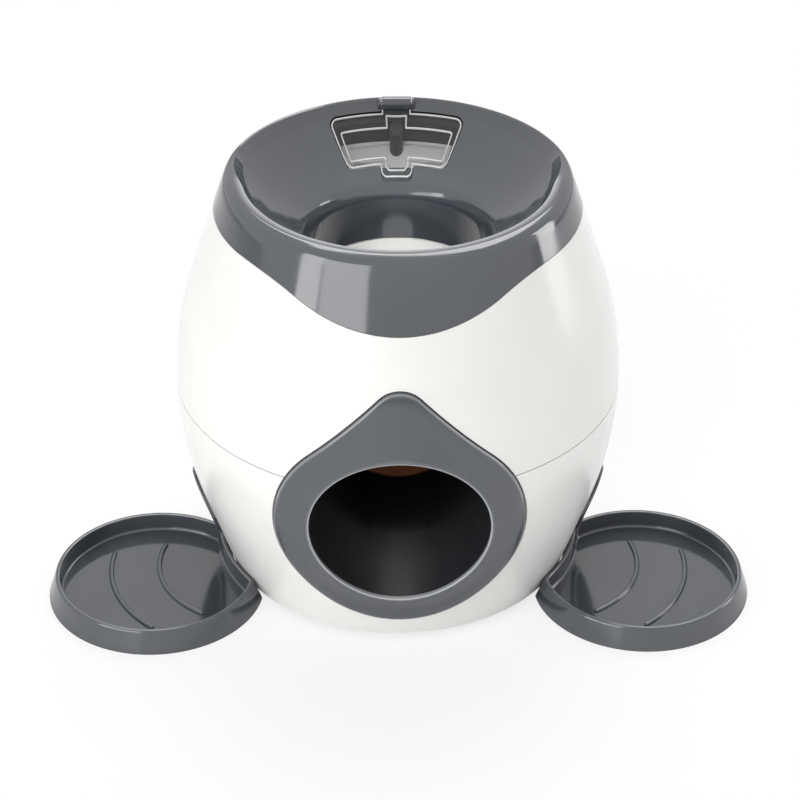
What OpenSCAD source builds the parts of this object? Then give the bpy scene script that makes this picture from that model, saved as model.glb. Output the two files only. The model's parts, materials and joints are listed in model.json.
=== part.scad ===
// Treat-giving ball machine for dogs: a ball goes in the funnel, trips a flap and rolls out of the front.
// Millimetres, Z up, the front faces -Y, the origin is on the floor under the body's axis.

/* [Body] */
// Radius of the barrel at its widest ring
belly_r = 93; // [88:0.5:100]
// Height of the widest ring
belly_z = 87; // [84:0.5:90]
// Radius of the curve of the barrel's side
bulge_r = 157; // [145:1:175]
// Half the height over which the side is curved; above and below it the side is straight
arc_half = 50; // [46:0.5:54]
// Wall thickness of the white shells
wall = 2.5; // [2:0.1:3]
// Height of the joint between the two white shells
seam_z = 86.7; // [84:0.1:89]
// Height of the lower shell's bottom edge
shell_bottom = 3; // [2.5:0.1:4]

/* [Funnel] */
// Height of the rim
rim_z = 180.5; // [178:0.5:183]
// Radius of the throat that the ball drops through
throat_r = 36; // [35:0.1:37]
// Depth of the throat's lower end below the rim
throat_depth = 50.5; // [48:0.5:53]
// Depth of the skirt's edge below the rim at the front
skirt_front_depth = 29.2; // [27:0.1:32]
// Depth of the skirt's edge below the rim at the sides and back
skirt_side_depth = 14.2; // [12:0.1:16]
// Half the width of the skirt's dip at the front
dip_w = 62; // [56:0.5:66]

/* [Front opening] */
// Radius of the ball's way out
hole_r = 37.7; // [36.5:0.1:39]
// Height of the centre of the way out
hole_z = 62.2; // [60:0.1:66]
// Radius of the round part of the front bezel
bezel_r = 51.3; // [48:0.1:54]
// Radius of the bezel's tip
bezel_tip_r = 11.5; // [8:0.1:14]
// Height of the tip's centre above the hole's centre
bezel_rise = 56.5; // [52:0.5:60]
// How far the bezel stands out of the shell
bezel_proud = 1.2; // [0.6:0.1:1.8]

/* [Side outlets] */
// Angle of a side outlet from the front
outlet_angle = 80; // [76:1:84]
// Height of the centre of a side outlet
outlet_z = 30; // [28:0.5:33]
// Radius of a side outlet
outlet_r = 12.3; // [11:0.1:13]
// Radius of the round part of a side bezel
outlet_bezel_r = 15; // [14.5:0.1:17]
// Radius of a side bezel's tip
outlet_tip_r = 4; // [3:0.1:5]
// Height of that tip's centre above the outlet's centre
outlet_rise = 11.5; // [11:0.5:15]
// How far a side bezel stands out of the shell
outlet_proud = 1.5; // [0.8:0.1:2]

/* [Trays] */
// Angle of a tray from the front
tray_angle = 69.8; // [66:0.1:74]
// Distance of a tray's centre from the body's axis
tray_reach = 110; // [105:0.5:118]
// Radius of a tray at the floor
tray_foot_r = 45.8; // [42:0.1:50]
// Radius of a tray at its rim
tray_rim_r = 42.5; // [40:0.1:45]
// Height of a tray
tray_h = 10; // [8:0.5:11]
// Wall and floor thickness of a tray
tray_wall = 2; // [1.6:0.1:2.6]
// How far the inside of a tray's wall leans in from its rim to its floor
tray_lean = 7; // [4:0.5:9]

/* [Rocker] */
// Distance of the rocker's shaft behind the body's axis
shaft_y = 52; // [51:0.1:53]
// Depth of the shaft below the rim
shaft_depth = 68.5; // [67.5:0.1:69.5]
// Radius of the shaft
shaft_r = 2.5; // [2:0.05:3]
// Length of the flap from the shaft
flap_len = 98; // [90:0.5:99]
// Angle of the flap from straight down, at rest
flap_angle = 46.5; // [45:0.1:50]
// How far the ball turns the rocker, in degrees
trip_angle = 17; // [15:0.1:21]
// Radius of a portion gate
gate_r = 19; // [18:0.1:19.5]

/* [Lid] */
// Inner radius of the lid about the body's axis
lid_in_r = 46; // [45:0.1:47]
// Width of the rim outside the lid
rim_w = 4.51; // [4.2:0.01:5.4]
// Half the angle that the lid spans
lid_half = 24.5; // [22:0.1:26]
// Half the width of the lid's hinge and of its finger tab
knuckle_w = 6.4; // [5.5:0.1:7]
// Radius of the lid's hinge pin
pin_r = 1.5; // [1.2:0.05:1.7]

/* [Clearances] */
// Gap between pieces that fit together
fit = 0.3; // [0.25:0.05:0.4]
// Running gap between a shaft and its hole
run = 0.05; // [0.03:0.01:0.08]

/* [Hidden] */
$fn = 96;

// Far is longer than the whole object, for cutting tools
far = 260;
end_slope = arc_half / sqrt(bulge_r * bulge_r - arc_half * arc_half);

// What follows the rim
throat_bottom = rim_z - throat_depth;
skirt_front_z = rim_z - skirt_front_depth;
skirt_side_z = rim_z - skirt_side_depth;
shaft_z = rim_z - shaft_depth;
lid_out_r = barrel_r(rim_z) - rim_w;

// The curved part of the side is made of this many bands, at the same heights in every piece
bands = 7;
band_edges = [for (i = [0 : bands]) belly_z - arc_half + 2 * arc_half * i / bands];

// Base and fasteners
plate_top = shell_bottom + 4;
plate_r = barrel_r(shell_bottom) - wall - fit;
edge_round = 1.4;
foot_r = 7;
foot_inset = 10.6;
foot_at = plate_r - foot_inset;
foot_angles = [25, 155, -155, -25];
boss_r = 4.5;
boss_inset = 6.6;
boss_at = plate_r - boss_inset;
boss_top = 30;
boss_angles = [45, 125, -125, -45];
screw_r = 1.5;
head_r = 3.3;
head_h = 2.2;
screw_top = plate_top + 9;

// Upper shell: its thick collar carries the funnel's skirt
collar_from = skirt_front_z - 13;
collar_t = 5.2;
collar_top = skirt_side_z + 1.7;
skirt_t = 2.4;
tongue_t = 2;
tongue_h = 6;

// Bezels: how far their flanges reach behind the shell, and the tops of those flanges
bezel_flange = 4;
bezel_top = hole_z + bezel_rise + bezel_tip_r + 2 * bezel_flange;
outlet_flange = 2.2;
outlet_collar_t = 1.5;
outlet_collar_len = 12;
outlet_collar_back = barrel_r(outlet_z) - outlet_collar_len;
bore_start = 40;

// Front tunnel, drop tube and the ball's ramp
collar_r = hole_r + 1.2;
tunnel_r = collar_r + fit;
tunnel_t = 2.5;
tunnel_out = tunnel_r + tunnel_t;
tunnel_front = -70;
collar_back = -66;
tunnel_open = -36;
tunnel_back = throat_r + 4.5;
tunnel_top = hole_z + tunnel_out;
arm_y = tunnel_back - 8;
back_wall_top = shaft_z - 34;
ramp_front = hole_z - hole_r + 0.1;
ramp_rise = 0.6;
ramp_back = ramp_front + ramp_rise;
leg_y = [-30, 28];
leg_x = 24;
tube_r = throat_r + 0.8;
tube_t = 2.2;
cover_t = 2.5;
cover_front = -tube_r - tube_t - 2;
cover_back = arm_y - fit;
throat_t = 2.5;

// Rocker and its bearings
lug_x = tunnel_r;
bush_r = shaft_r + 1.5;
flange_r = bush_r + 1.5;
flange_t = 1;
clip_gap = 0.5;
clip_t = 1;
clip_x = lug_x + tunnel_t + flange_t + clip_gap;
shaft_half = clip_x + clip_t + 1.5;
flap_foot_r = 30;
flap_t = 3;
// Top of the slot in the drop tube that lets the flap's arm through
slot_top = shaft_z - (shaft_y - tube_r - tube_t - 2) / tan(flap_angle) + flap_t / 2 / sin(flap_angle) + 1;
hub_r = shaft_r + 3;
gate_x = knuckle_w + 0.1;
gate_w = 14;
gate_t = 2;
cheek_t = 1.5;
gate_from = -14;
gate_to = 50;
// The gate's window is shut at rest and comes under the spout as the rocker turns
window_from = trip_angle - 4.5;
window_to = trip_angle + 17;

// Hopper behind the throat: slope is the funnel's height at radius r behind the axis
slope_a = rim_z - 21.2;
slope_b = rim_z - 6.5;
slope_drop = 3.2;
bin_in_r = lid_in_r;
bin_out_r = lid_out_r - 0.5;
bin_half = lid_half - 0.7;
bin_t = 1.8;
floor_drop = 13;
floor_t = 2.5;
spout_x = gate_x + 2;
spout_w = 10;
spout_d = 8;
spout_t = 1.5;
spout_bottom = shaft_z + gate_r + 0.5;

// Lip at the front of the rim: its inner radius, how far its ends pass the sides, where they
// meet the slope and how steeply they run down to it
lip_r = lid_out_r - 1.3;
lip_past = 11;
lip_end = [11, slope_b + 0.6];
lip_fade = 11;

// Lid hinge at the back of the rim
hinge_y = lid_out_r + 1.9;
hinge_z = rim_z - 3.1;
knuckle_r = pin_r + 1.4;
ear_r = pin_r + 1.1;
ear_w = 2.2;
lid_t = 2.4;
lid_gap = 0.4;
pane_proud = 0.7;

// Treat chutes: from behind the rocker round to the side outlets
chute_t = 1.6;
chute_steps = 16;
chute_from = shaft_z - 24;
chute_to = outlet_z - outlet_r + 0.3;
chute_out = ring_spot(outlet_angle, barrel_r(outlet_z));
chute_path = [[7, shaft_y + 7], [chute_out[0] - 17.22, shaft_y + 10],
    chute_out + [-9.22, 40.32], chute_out + [-22.22, -9.68]];
chute_leg = chute_out + [-23.22, -2.68];

// Trays: gap to the body, lean of the wall beside the body, ribs on the floor and the tab under the body
tray_gap = 0.6;
hollow_lean = 1.5;
rib_at = [-5, 16];
rib_w = 2.2;
rib_h = 1.2;
tab_w = 26;
tab_len = 14;

// Torsion spring round the shaft, from the right gate to the bush
bush_in = 0.4;
spring_coils = 9;
spring_wire = 0.6;
spring_r = shaft_r + fit + spring_wire;
spring_from = gate_x + gate_w + fit + spring_wire;
spring_to = lug_x - bush_in - fit - spring_wire;

function clamp(v, low, high) = max(low, min(high, v));

// Outer radius of the barrel at height z
function barrel_r(z) =
    let (h = z - belly_z, c = clamp(h, -arc_half, arc_half))
    belly_r - bulge_r + sqrt(bulge_r * bulge_r - c * c) - (abs(h) - abs(c)) * end_slope;

// Points up the barrel's side between two heights, moved out by off
function side_point(z, off) =
    let (i = floor((z - band_edges[0]) * bands / (2 * arc_half)),
        a = band_edges[clamp(i, 0, bands - 1)], b = band_edges[clamp(i, 0, bands - 1) + 1])
    i < 0 || i >= bands ? [barrel_r(z) + off, z]
    : [barrel_r(a) + (barrel_r(b) - barrel_r(a)) * (z - a) / (b - a) + off, z];
function side_up(z0, z1, off) =
    concat([side_point(z0, off)],
        [for (z = band_edges) if (z > z0 + 0.01 && z < z1 - 0.01) [barrel_r(z) + off, z]],
        [side_point(z1, off)]);

function side_down(z0, z1, off) =
    let (p = side_up(z0, z1, off))
    [for (i = [len(p) - 1 : -1 : 0]) p[i]];

// Height of the back slope between the lid's two radii, and beyond them
function slope(r) = slope_a + (r - lid_in_r) * (slope_b - slope_a) / (lid_out_r - lid_in_r);

// Sections of radius and height: an upright one, and one that follows the slope between two drops below it
function upright(r0, r1, z0, z1) = [[r0, z0], [r1, z0], [r1, z1], [r0, z1]];
function sloped(r0, r1, low, high) =
    [[r0, slope(r0) - low], [r1, slope(r1) - low], [r1, slope(r1) - high], [r0, slope(r0) - high]];

// A ring of the barrel between two offsets from its outside
module barrel_ring(z0, z1, off_in, off_out) {
    rotate_extrude()
        polygon(concat(side_up(z0, z1, off_out), side_down(z0, z1, off_in)));
}

// The whole barrel, moved out by off
module barrel_solid(z0, z1, off) {
    rotate_extrude()
        polygon(concat([[0, z0]], side_up(z0, z1, off), [[0, z1]]));
}

// A part of a ring behind the axis, from a section of radius and height
module back_sector(half_angle, section) {
    rotate([0, 0, 90 - half_angle])
        rotate_extrude(angle = 2 * half_angle)
            polygon(section);
}

// Points round an arc, the angle counted from straight up
function arc_points(r, from, to, n) =
    [for (i = [0 : n]) let (a = from + (to - from) * i / n) r * [sin(a), cos(a)]];

// Outline round a circle, a smaller circle above it and the two lines that touch both
module drop_shape(big, small, rise) {
    turn = acos((big - small) / rise);
    polygon(concat(
        arc_points(big, turn, 360 - turn, 40),
        [for (p = arc_points(small, -turn, turn, 12)) [p[0], p[1] + rise]]));
}

// A drop-shaped bar that points out of the body at an angle from the front
module drop_bar(angle, z, big, small, rise) {
    rotate([0, 0, angle])
        translate([0, 0, z])
            rotate([90, 0, 0])
                linear_extrude(far)
                    drop_shape(big, small, rise);
}

// A round bar that points out of the body at an angle from the front
module round_bar(angle, z, r, from, length) {
    rotate([0, 0, angle])
        translate([0, -from, z])
            rotate([90, 0, 0])
                cylinder(r = r, h = length);
}

module front_bar(grow) {
    drop_bar(0, hole_z, bezel_r + grow, bezel_tip_r + grow, bezel_rise);
}

module outlet_bar(side, grow) {
    drop_bar(side * outlet_angle, outlet_z, outlet_bezel_r + grow, outlet_tip_r + grow, outlet_rise);
}

// Everything above the skirt's edge: level at the sides and back, two tangent arcs down to the front
module above_skirt(lift) {
    dip = skirt_side_z - skirt_front_z;
    arcs = (dip_w * dip_w + dip * dip) / (2 * dip);
    low_r = arcs * 0.664;
    high_r = arcs - low_r;
    turn_x = dip_w * low_r / arcs;
    turn_z = skirt_front_z + dip * low_r / arcs;
    translate([0, 0, lift]) {
        translate([-far / 2, -1, skirt_side_z])
            cube([far, far / 2, 60]);
        rotate([90, 0, 0])
            linear_extrude(far / 2) {
                translate([-far / 2, skirt_side_z])
                    square([far, 60]);
                intersection() {
                    translate([-turn_x, skirt_front_z - 1])
                        square([2 * turn_x, dip + 2]);
                    translate([0, skirt_front_z + low_r])
                        circle(low_r, $fn = 360);
                }
                for (side = [-1, 1])
                    scale([side, 1])
                        difference() {
                            translate([turn_x - 0.01, turn_z])
                                square([dip_w - turn_x + 0.01, skirt_side_z - turn_z + 1]);
                            translate([dip_w, skirt_side_z - high_r])
                                circle(high_r, $fn = 360);
                        }
            }
    }
}

function ring_spot(angle, r) = [r * sin(angle), -r * cos(angle)];

shell_screw_spots = [for (a = boss_angles) ring_spot(a, boss_at)];
tunnel_screw_spots = [for (y = leg_y) for (s = [-1, 1]) [s * leg_x, y]];
chute_screw_spots = [for (s = [-1, 1]) [s * chute_leg[0], chute_leg[1]]];
screw_spots = concat(shell_screw_spots, tunnel_screw_spots, chute_screw_spots);

module base_plate() {
    color("dimgray")
        difference() {
            translate([0, 0, shell_bottom])
                cylinder(r = plate_r, h = plate_top - shell_bottom);
            for (p = screw_spots)
                translate([p[0], p[1], shell_bottom - 1]) {
                    cylinder(r = head_r + fit, h = 1 + head_h + 0.4);
                    cylinder(r = screw_r + fit, h = 9);
                }
        }
}

module rubber_feet() {
    color("black")
        for (a = foot_angles)
            translate(ring_spot(a, foot_at))
                cylinder(r = foot_r, h = shell_bottom);
}

module base_screws() {
    color("silver")
        for (p = screw_spots)
            translate([p[0], p[1], shell_bottom + 0.4])
                difference() {
                    union() {
                        cylinder(r = head_r, h = head_h);
                        cylinder(r = screw_r, h = screw_top - shell_bottom - 0.4);
                    }
                    translate([-2, -0.4, -1])
                        cube([4, 0.8, 1.8]);
                    translate([-0.4, -2, -1])
                        cube([0.8, 4, 1.8]);
                }
}

module screw_post(p, r, top) {
    difference() {
        translate([p[0], p[1], plate_top])
            cylinder(r = r, h = top - plate_top);
        translate([p[0], p[1], plate_top - 1])
            cylinder(r = screw_r + run, h = screw_top - plate_top + 2);
    }
}

module shell_openings() {
    front_bar(fit);
    for (side = [-1, 1])
        outlet_bar(side, fit);
}

module lower_shell() {
    color("white")
        difference() {
            union() {
                difference() {
                    barrel_ring(shell_bottom, seam_z - 0.2, -wall, 0);
                    rotate_extrude()
                        polygon([[barrel_r(shell_bottom) - edge_round, shell_bottom - 1],
                            [barrel_r(shell_bottom) - edge_round, shell_bottom],
                            [barrel_r(shell_bottom + edge_round) + 0.01, shell_bottom + edge_round],
                            [belly_r, shell_bottom + edge_round], [belly_r, shell_bottom - 1]]);
                }
                for (a = boss_angles) {
                    screw_post(ring_spot(a, boss_at), boss_r, boss_top);
                    intersection() {
                        barrel_solid(plate_top, boss_top, -wall / 2);
                        rotate([0, 0, a])
                            translate([-1.25, -far / 2, plate_top])
                                cube([2.5, far / 2 - boss_at - boss_r + 1, boss_top - plate_top]);
                    }
                }
            }
            shell_openings();
        }
}

module upper_shell() {
    color("white")
        difference() {
            rotate_extrude()
                polygon(concat(
                    side_up(seam_z, collar_top, 0),
                    side_down(collar_from, collar_top, -collar_t),
                    side_down(seam_z + tongue_h, collar_from, -wall),
                    side_down(seam_z - tongue_h, seam_z + tongue_h, -wall - tongue_t),
                    side_up(seam_z - tongue_h, seam_z, -wall - fit)));
            shell_openings();
            intersection() {
                front_bar(bezel_flange + 2);
                barrel_solid(seam_z - 2 * tongue_h, bezel_top, -wall - 0.1);
            }
            intersection() {
                barrel_ring(skirt_front_z - 3, collar_top + 4, -skirt_t - fit, 6);
                above_skirt(-fit);
            }
        }
}

// Section of the funnel: throat, lip, concave slope, rim and skirt
module funnel_section() {
    polygon(concat(
        [[throat_r, throat_bottom], [throat_r, slope_a - 7.5], [throat_r + 2, slope_a - 4.8],
            [lid_in_r, slope_a], [lid_out_r, slope_b], [lid_out_r + 3.5, rim_z - 1.9],
            [lid_out_r + 4.4, rim_z - 1.3]],
        side_down(skirt_front_z - 1, rim_z - 2.4, 0),
        side_up(skirt_front_z - 1, rim_z - 9, -skirt_t),
        [[lid_out_r + 1.8, slope_b - 2.6], [lid_out_r, slope_b - slope_drop],
            [lid_in_r, slope_a - slope_drop], [throat_r + 4, slope_a - 7],
            [throat_r + throat_t, slope_a - 9.8], [throat_r + throat_t, throat_bottom]]));
}

// Lip that stands up round the front of the rim, with ends that run down to the slope
module front_lip() {
    base_r = lip_r - 1.2;
    difference() {
        rotate([0, 0, 180 - lip_past])
            rotate_extrude(angle = 180 + 2 * lip_past)
                polygon([[base_r, slope(base_r) - 1], [lip_r, rim_z - 0.9], [lip_r + 0.8, rim_z],
                    [lip_r + 3.1, rim_z - 0.2], [lid_out_r + 4.2, rim_z - 1.25],
                    [lid_out_r + 3.8, rim_z - 3], [lid_out_r, slope_b - 1]]);
        translate([0, lip_end[0], lip_end[1]])
            rotate([-lip_fade, 0, 0])
                translate([-far / 2, -far / 2, 0])
                    cube([far, far, 40]);
    }
}

module lid_ears() {
    for (side = [-1, 1])
        scale([side, 1, 1])
            translate([knuckle_w + fit, hinge_y, hinge_z])
                rotate([0, 90, 0])
                    cylinder(r = ear_r, h = ear_w);
}

module funnel_bowl() {
    tab_half = asin((knuckle_w + fit) / (throat_r + 6));
    color("slategray")
        difference() {
            union() {
                rotate_extrude()
                    funnel_section();
                front_lip();
                lid_ears();
            }
            difference() {
                barrel_ring(skirt_front_z - 6, rim_z - 4, -skirt_t - 2, 4);
                above_skirt(0);
                barrel_solid(skirt_front_z - 7, rim_z - 3, -skirt_t - 0.6);
            }
            back_sector(lid_half + lid_gap,
                upright(lid_in_r - lid_gap, lid_out_r + lid_gap, throat_bottom + 6, rim_z + 5));
            back_sector(tab_half, [[throat_r + 1.6, slope_a - 6.8], [lid_in_r, slope_a - 1.8],
                [lid_in_r, rim_z], [throat_r + 1.6, rim_z]]);
            translate([-knuckle_w - fit, hinge_y - 8, hinge_z - knuckle_r - 0.5])
                cube([2 * (knuckle_w + fit), 20, 20]);
            translate([-knuckle_w - fit - ear_w - 1, hinge_y, hinge_z])
                rotate([0, 90, 0])
                    cylinder(r = pin_r + run / 2, h = 2 * (knuckle_w + fit + ear_w + 1));
        }
}

module front_bezel() {
    color("slategray")
        difference() {
            union() {
                intersection() {
                    front_bar(0);
                    barrel_ring(shell_bottom + 2, bezel_top, -wall - fit - 1.2, bezel_proud);
                }
                intersection() {
                    front_bar(bezel_flange);
                    barrel_ring(plate_top + 0.5, bezel_top, -wall - fit - 2.5, -wall - fit);
                }
                intersection() {
                    round_bar(0, hole_z, collar_r, -collar_back, far / 4);
                    barrel_solid(shell_bottom + 2, bezel_top, -wall);
                }
            }
            round_bar(0, hole_z, hole_r, bore_start, far);
        }
}

module side_bezel(side) {
    color("slategray")
        difference() {
            union() {
                intersection() {
                    outlet_bar(side, 0);
                    barrel_ring(shell_bottom + 2, seam_z, -wall - fit - 0.7, outlet_proud);
                }
                intersection() {
                    outlet_bar(side, outlet_flange);
                    barrel_ring(plate_top + 0.5, seam_z, -wall - fit - 1.5, -wall - fit);
                }
                intersection() {
                    round_bar(side * outlet_angle, outlet_z, outlet_r + outlet_collar_t,
                        outlet_collar_back, far / 4);
                    barrel_solid(shell_bottom + 2, seam_z, -wall);
                }
            }
            round_bar(side * outlet_angle, outlet_z, outlet_r, bore_start, far);
        }
}

module side_bezel_left() {
    side_bezel(-1);
}

module side_bezel_right() {
    side_bezel(1);
}

// Bearing arms for the rocker, behind the tunnel's side walls
module bearing_arm(side) {
    scale([side, 1, 1])
        translate([lug_x, 0, 0])
            rotate([90, 0, 90])
                linear_extrude(tunnel_t) {
                    polygon([[arm_y, tunnel_top - 12], [arm_y, tunnel_top],
                        [shaft_y, shaft_z + 7], [shaft_y, shaft_z - 7]]);
                    translate([shaft_y, shaft_z])
                        circle(7);
                }
}

module ball_tunnel() {
    wide = 2 * tunnel_out;
    color("dimgray")
        difference() {
            union() {
                difference() {
                    union() {
                        round_bar(0, hole_z, tunnel_out, -tunnel_back, tunnel_back - tunnel_front);
                        translate([-tunnel_out, tunnel_open - tunnel_t, hole_z])
                            cube([wide, tunnel_back - tunnel_open + tunnel_t, tunnel_out]);
                        for (y = leg_y)
                            translate([-leg_x - 5, y - 1.5, plate_top])
                                cube([2 * leg_x + 10, 3, hole_z - 22 - plate_top]);
                    }
                    round_bar(0, hole_z, tunnel_r, -tunnel_back + tunnel_t, far);
                    translate([-tunnel_r, tunnel_open, hole_z])
                        cube([2 * tunnel_r, tunnel_back - tunnel_t - tunnel_open, far]);
                    translate([-tunnel_r, tunnel_back - tunnel_t - 1, back_wall_top])
                        cube([2 * tunnel_r, 10, far]);
                }
                intersection() {
                    round_bar(0, hole_z, tunnel_r + 1, -tunnel_back + 1, tunnel_back - 1 - tunnel_front);
                    rotate([90, 0, 90])
                        translate([0, 0, -far / 2])
                            linear_extrude(far)
                                polygon([[collar_back + fit, 0], [collar_back + fit, ramp_front],
                                    [tunnel_back, ramp_back], [tunnel_back, 0]]);
                }
                for (p = tunnel_screw_spots)
                    translate([p[0], p[1], plate_top])
                        cylinder(r = 4, h = screw_top - plate_top + 3);
                for (side = [-1, 1])
                    bearing_arm(side);
            }
            for (p = tunnel_screw_spots)
                translate([p[0], p[1], plate_top - 1])
                    cylinder(r = screw_r + run, h = screw_top - plate_top + 2);
            translate([-far / 2, shaft_y, shaft_z])
                rotate([0, 90, 0])
                    cylinder(r = bush_r + run / 2, h = far);
        }
}

// White tube that leads the ball from the throat to the tunnel
module drop_tube() {
    color("white")
        difference() {
            union() {
                translate([0, 0, tunnel_top])
                    cylinder(r = tube_r + tube_t, h = throat_bottom - fit - tunnel_top);
                translate([0, 0, tunnel_top + cover_t])
                    cylinder(r = tube_r + tube_t + 2, h = 2);
                translate([0, 0, throat_bottom - 5])
                    cylinder(r = throat_r + throat_t + fit + 2.2, h = 11);
            }
            translate([0, 0, tunnel_top - 1])
                cylinder(r = tube_r, h = far);
            translate([0, 0, throat_bottom - fit])
                cylinder(r = throat_r + throat_t + fit, h = far);
            translate([-knuckle_w - 1.5, tube_r / 2, slot_top - far])
                cube([2 * knuckle_w + 3, tube_r, far]);
        }
}

// Plate over the tunnel's open top, with the hole that the drop tube stands in
module tunnel_cover() {
    color("white")
        difference() {
            translate([-tunnel_out - 1, cover_front, tunnel_top])
                cube([2 * tunnel_out + 2, cover_back - cover_front, cover_t]);
            translate([0, 0, tunnel_top - 1])
                cylinder(r = tube_r + tube_t + run, h = cover_t + 2);
        }
}

// Walls of the treat hopper under the lid
module hopper_bin() {
    in_r = bin_in_r - bin_t;
    out_r = bin_out_r + bin_t;
    top_drop = slope_drop + 2 * fit + run;
    color("dimgray")
        difference() {
            back_sector(bin_half + 2.2, sloped(in_r, out_r, top_drop + floor_drop, top_drop));
            back_sector(bin_half, upright(bin_in_r, bin_out_r, spout_bottom, rim_z));
        }
}

module spout_box(side, grow, low, high) {
    scale([side, 1, 1])
        translate([spout_x - grow, shaft_y - spout_d / 2 - grow, low])
            cube([spout_w + 2 * grow, spout_d + 2 * grow, high - low]);
}

// Sloped white floor of the hopper with two spouts over the gates
module hopper_floor() {
    in_r = bin_in_r + 0.05;
    out_r = bin_out_r - 0.05;
    half = bin_half - 0.05;
    color("gainsboro")
        difference() {
            union() {
                back_sector(half, sloped(in_r, out_r, floor_drop + floor_t, floor_drop));
                intersection() {
                    for (side = [-1, 1])
                        spout_box(side, spout_t, spout_bottom, rim_z);
                    back_sector(half, sloped(in_r, out_r, rim_z - spout_bottom, floor_drop + 1));
                }
            }
            for (side = [-1, 1])
                spout_box(side, 0, spout_bottom - 10, rim_z);
        }
}

module hopper_post() {
    post_r = 2.9;
    post_y = bin_out_r - post_r - 0.1;
    color("dimgray")
        intersection() {
            translate([0, post_y, throat_bottom])
                cylinder(r = post_r, h = rim_z - throat_bottom);
            rotate_extrude()
                polygon(sloped(bin_in_r, bin_out_r, floor_drop - run, lid_t + 2 * fit));
        }
}

// Point and direction of the chute's middle line at t from 0 to 1
function bezier(p, t) =
    let (u = 1 - t)
    u * u * u * p[0] + 3 * u * u * t * p[1] + 3 * u * t * t * p[2] + t * t * t * p[3];
function bezier_turn(p, t) =
    let (u = 1 - t)
    u * u * (p[1] - p[0]) + 2 * u * t * (p[2] - p[1]) + t * t * (p[3] - p[2]);

// Section of the chute at t: a square U, eight points
function chute_ring(t) =
    let (c = bezier(chute_path, t), d = bezier_turn(chute_path, t), n = [-d[1], d[0]] / norm(d),
        half = 12 - 2 * t, high = 14 + 16 * t, low = chute_from - (chute_from - chute_to) * min(1, t / 0.9),
        flat = [[-half, high], [-half, -chute_t], [half, -chute_t], [half, high],
            [half - chute_t, high], [half - chute_t, 0], [chute_t - half, 0], [chute_t - half, high]])
    [for (q = flat) [c[0] + n[0] * q[0], c[1] + n[1] * q[0], low + q[1]]];

module chute_trough() {
    m = 8;
    points = [for (i = [0 : chute_steps]) each chute_ring(i / chute_steps)];
    sides = [for (i = [0 : chute_steps - 1]) for (k = [0 : m - 1])
        let (a = i * m + k, b = i * m + (k + 1) % m)
        each [[a, b + m, b], [a, a + m, b + m]]];
    cap = [[0, 6, 7], [0, 1, 6], [1, 5, 6], [1, 2, 5], [2, 4, 5], [2, 3, 4]];
    last = chute_steps * m;
    caps = concat(cap, [for (f = cap) [last + f[2], last + f[1], last + f[0]]]);
    polyhedron(points, concat(sides, caps));
}

module treat_chute(side) {
    first = chute_ring(0);
    final = chute_ring(1);
    color("white")
        scale([side, 1, 1])
            difference() {
                union() {
                    chute_trough();
                    translate([first[1][0] - 1, first[1][1] + 1.5, chute_from - chute_t])
                        cube([2, 22, 15]);
                    translate([final[1][0] + 0.2, final[1][1] - 0.6, chute_to - chute_t])
                        cube([19, 2, 30]);
                    screw_post(chute_leg, 4, chute_to - 0.4);
                }
                round_bar(outlet_angle, outlet_z, outlet_r + outlet_collar_t + 0.4,
                    outlet_collar_back - 4.5, far / 8);
            }
}

module treat_chute_left() {
    treat_chute(-1);
}

module treat_chute_right() {
    treat_chute(1);
}

module shaft_bushes() {
    color("ivory")
        for (side = [-1, 1])
            scale([side, 1, 1])
                translate([lug_x - bush_in, shaft_y, shaft_z])
                    rotate([0, 90, 0])
                        difference() {
                            union() {
                                cylinder(r = bush_r, h = tunnel_t + bush_in);
                                translate([0, 0, tunnel_t + bush_in])
                                    cylinder(r = flange_r, h = flange_t);
                            }
                            translate([0, 0, -1])
                                cylinder(r = shaft_r + run, h = 10);
                        }
}

// A wire of six sides wound round the shaft, with eight rings to a turn
spring_rings = spring_coils * 8;
function spring_ring(i) =
    let (a = 45 * i, x = spring_from + (spring_to - spring_from) * i / spring_rings)
    [for (k = [0 : 5])
        let (r = spring_r + spring_wire * cos(60 * k))
        [x + spring_wire * sin(60 * k), shaft_y + r * cos(a), shaft_z + r * sin(a)]];

module return_spring() {
    m = 6;
    points = [for (i = [0 : spring_rings]) each spring_ring(i)];
    sides = [for (i = [0 : spring_rings - 1]) for (k = [0 : m - 1])
        let (a = i * m + k, b = i * m + (k + 1) % m)
        each [[a, b + m, b], [a, a + m, b + m]]];
    last = spring_rings * m;
    caps = [for (k = [1 : m - 2]) each [[0, k, k + 1], [last, last + k + 1, last + k]]];
    color("silver")
        polyhedron(points, concat(sides, caps));
}

module lid_hinge_pin() {
    half = knuckle_w + fit + ear_w;
    color("silver")
        translate([-half, hinge_y, hinge_z])
            rotate([0, 90, 0])
                cylinder(r = pin_r, h = 2 * half);
}

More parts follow.
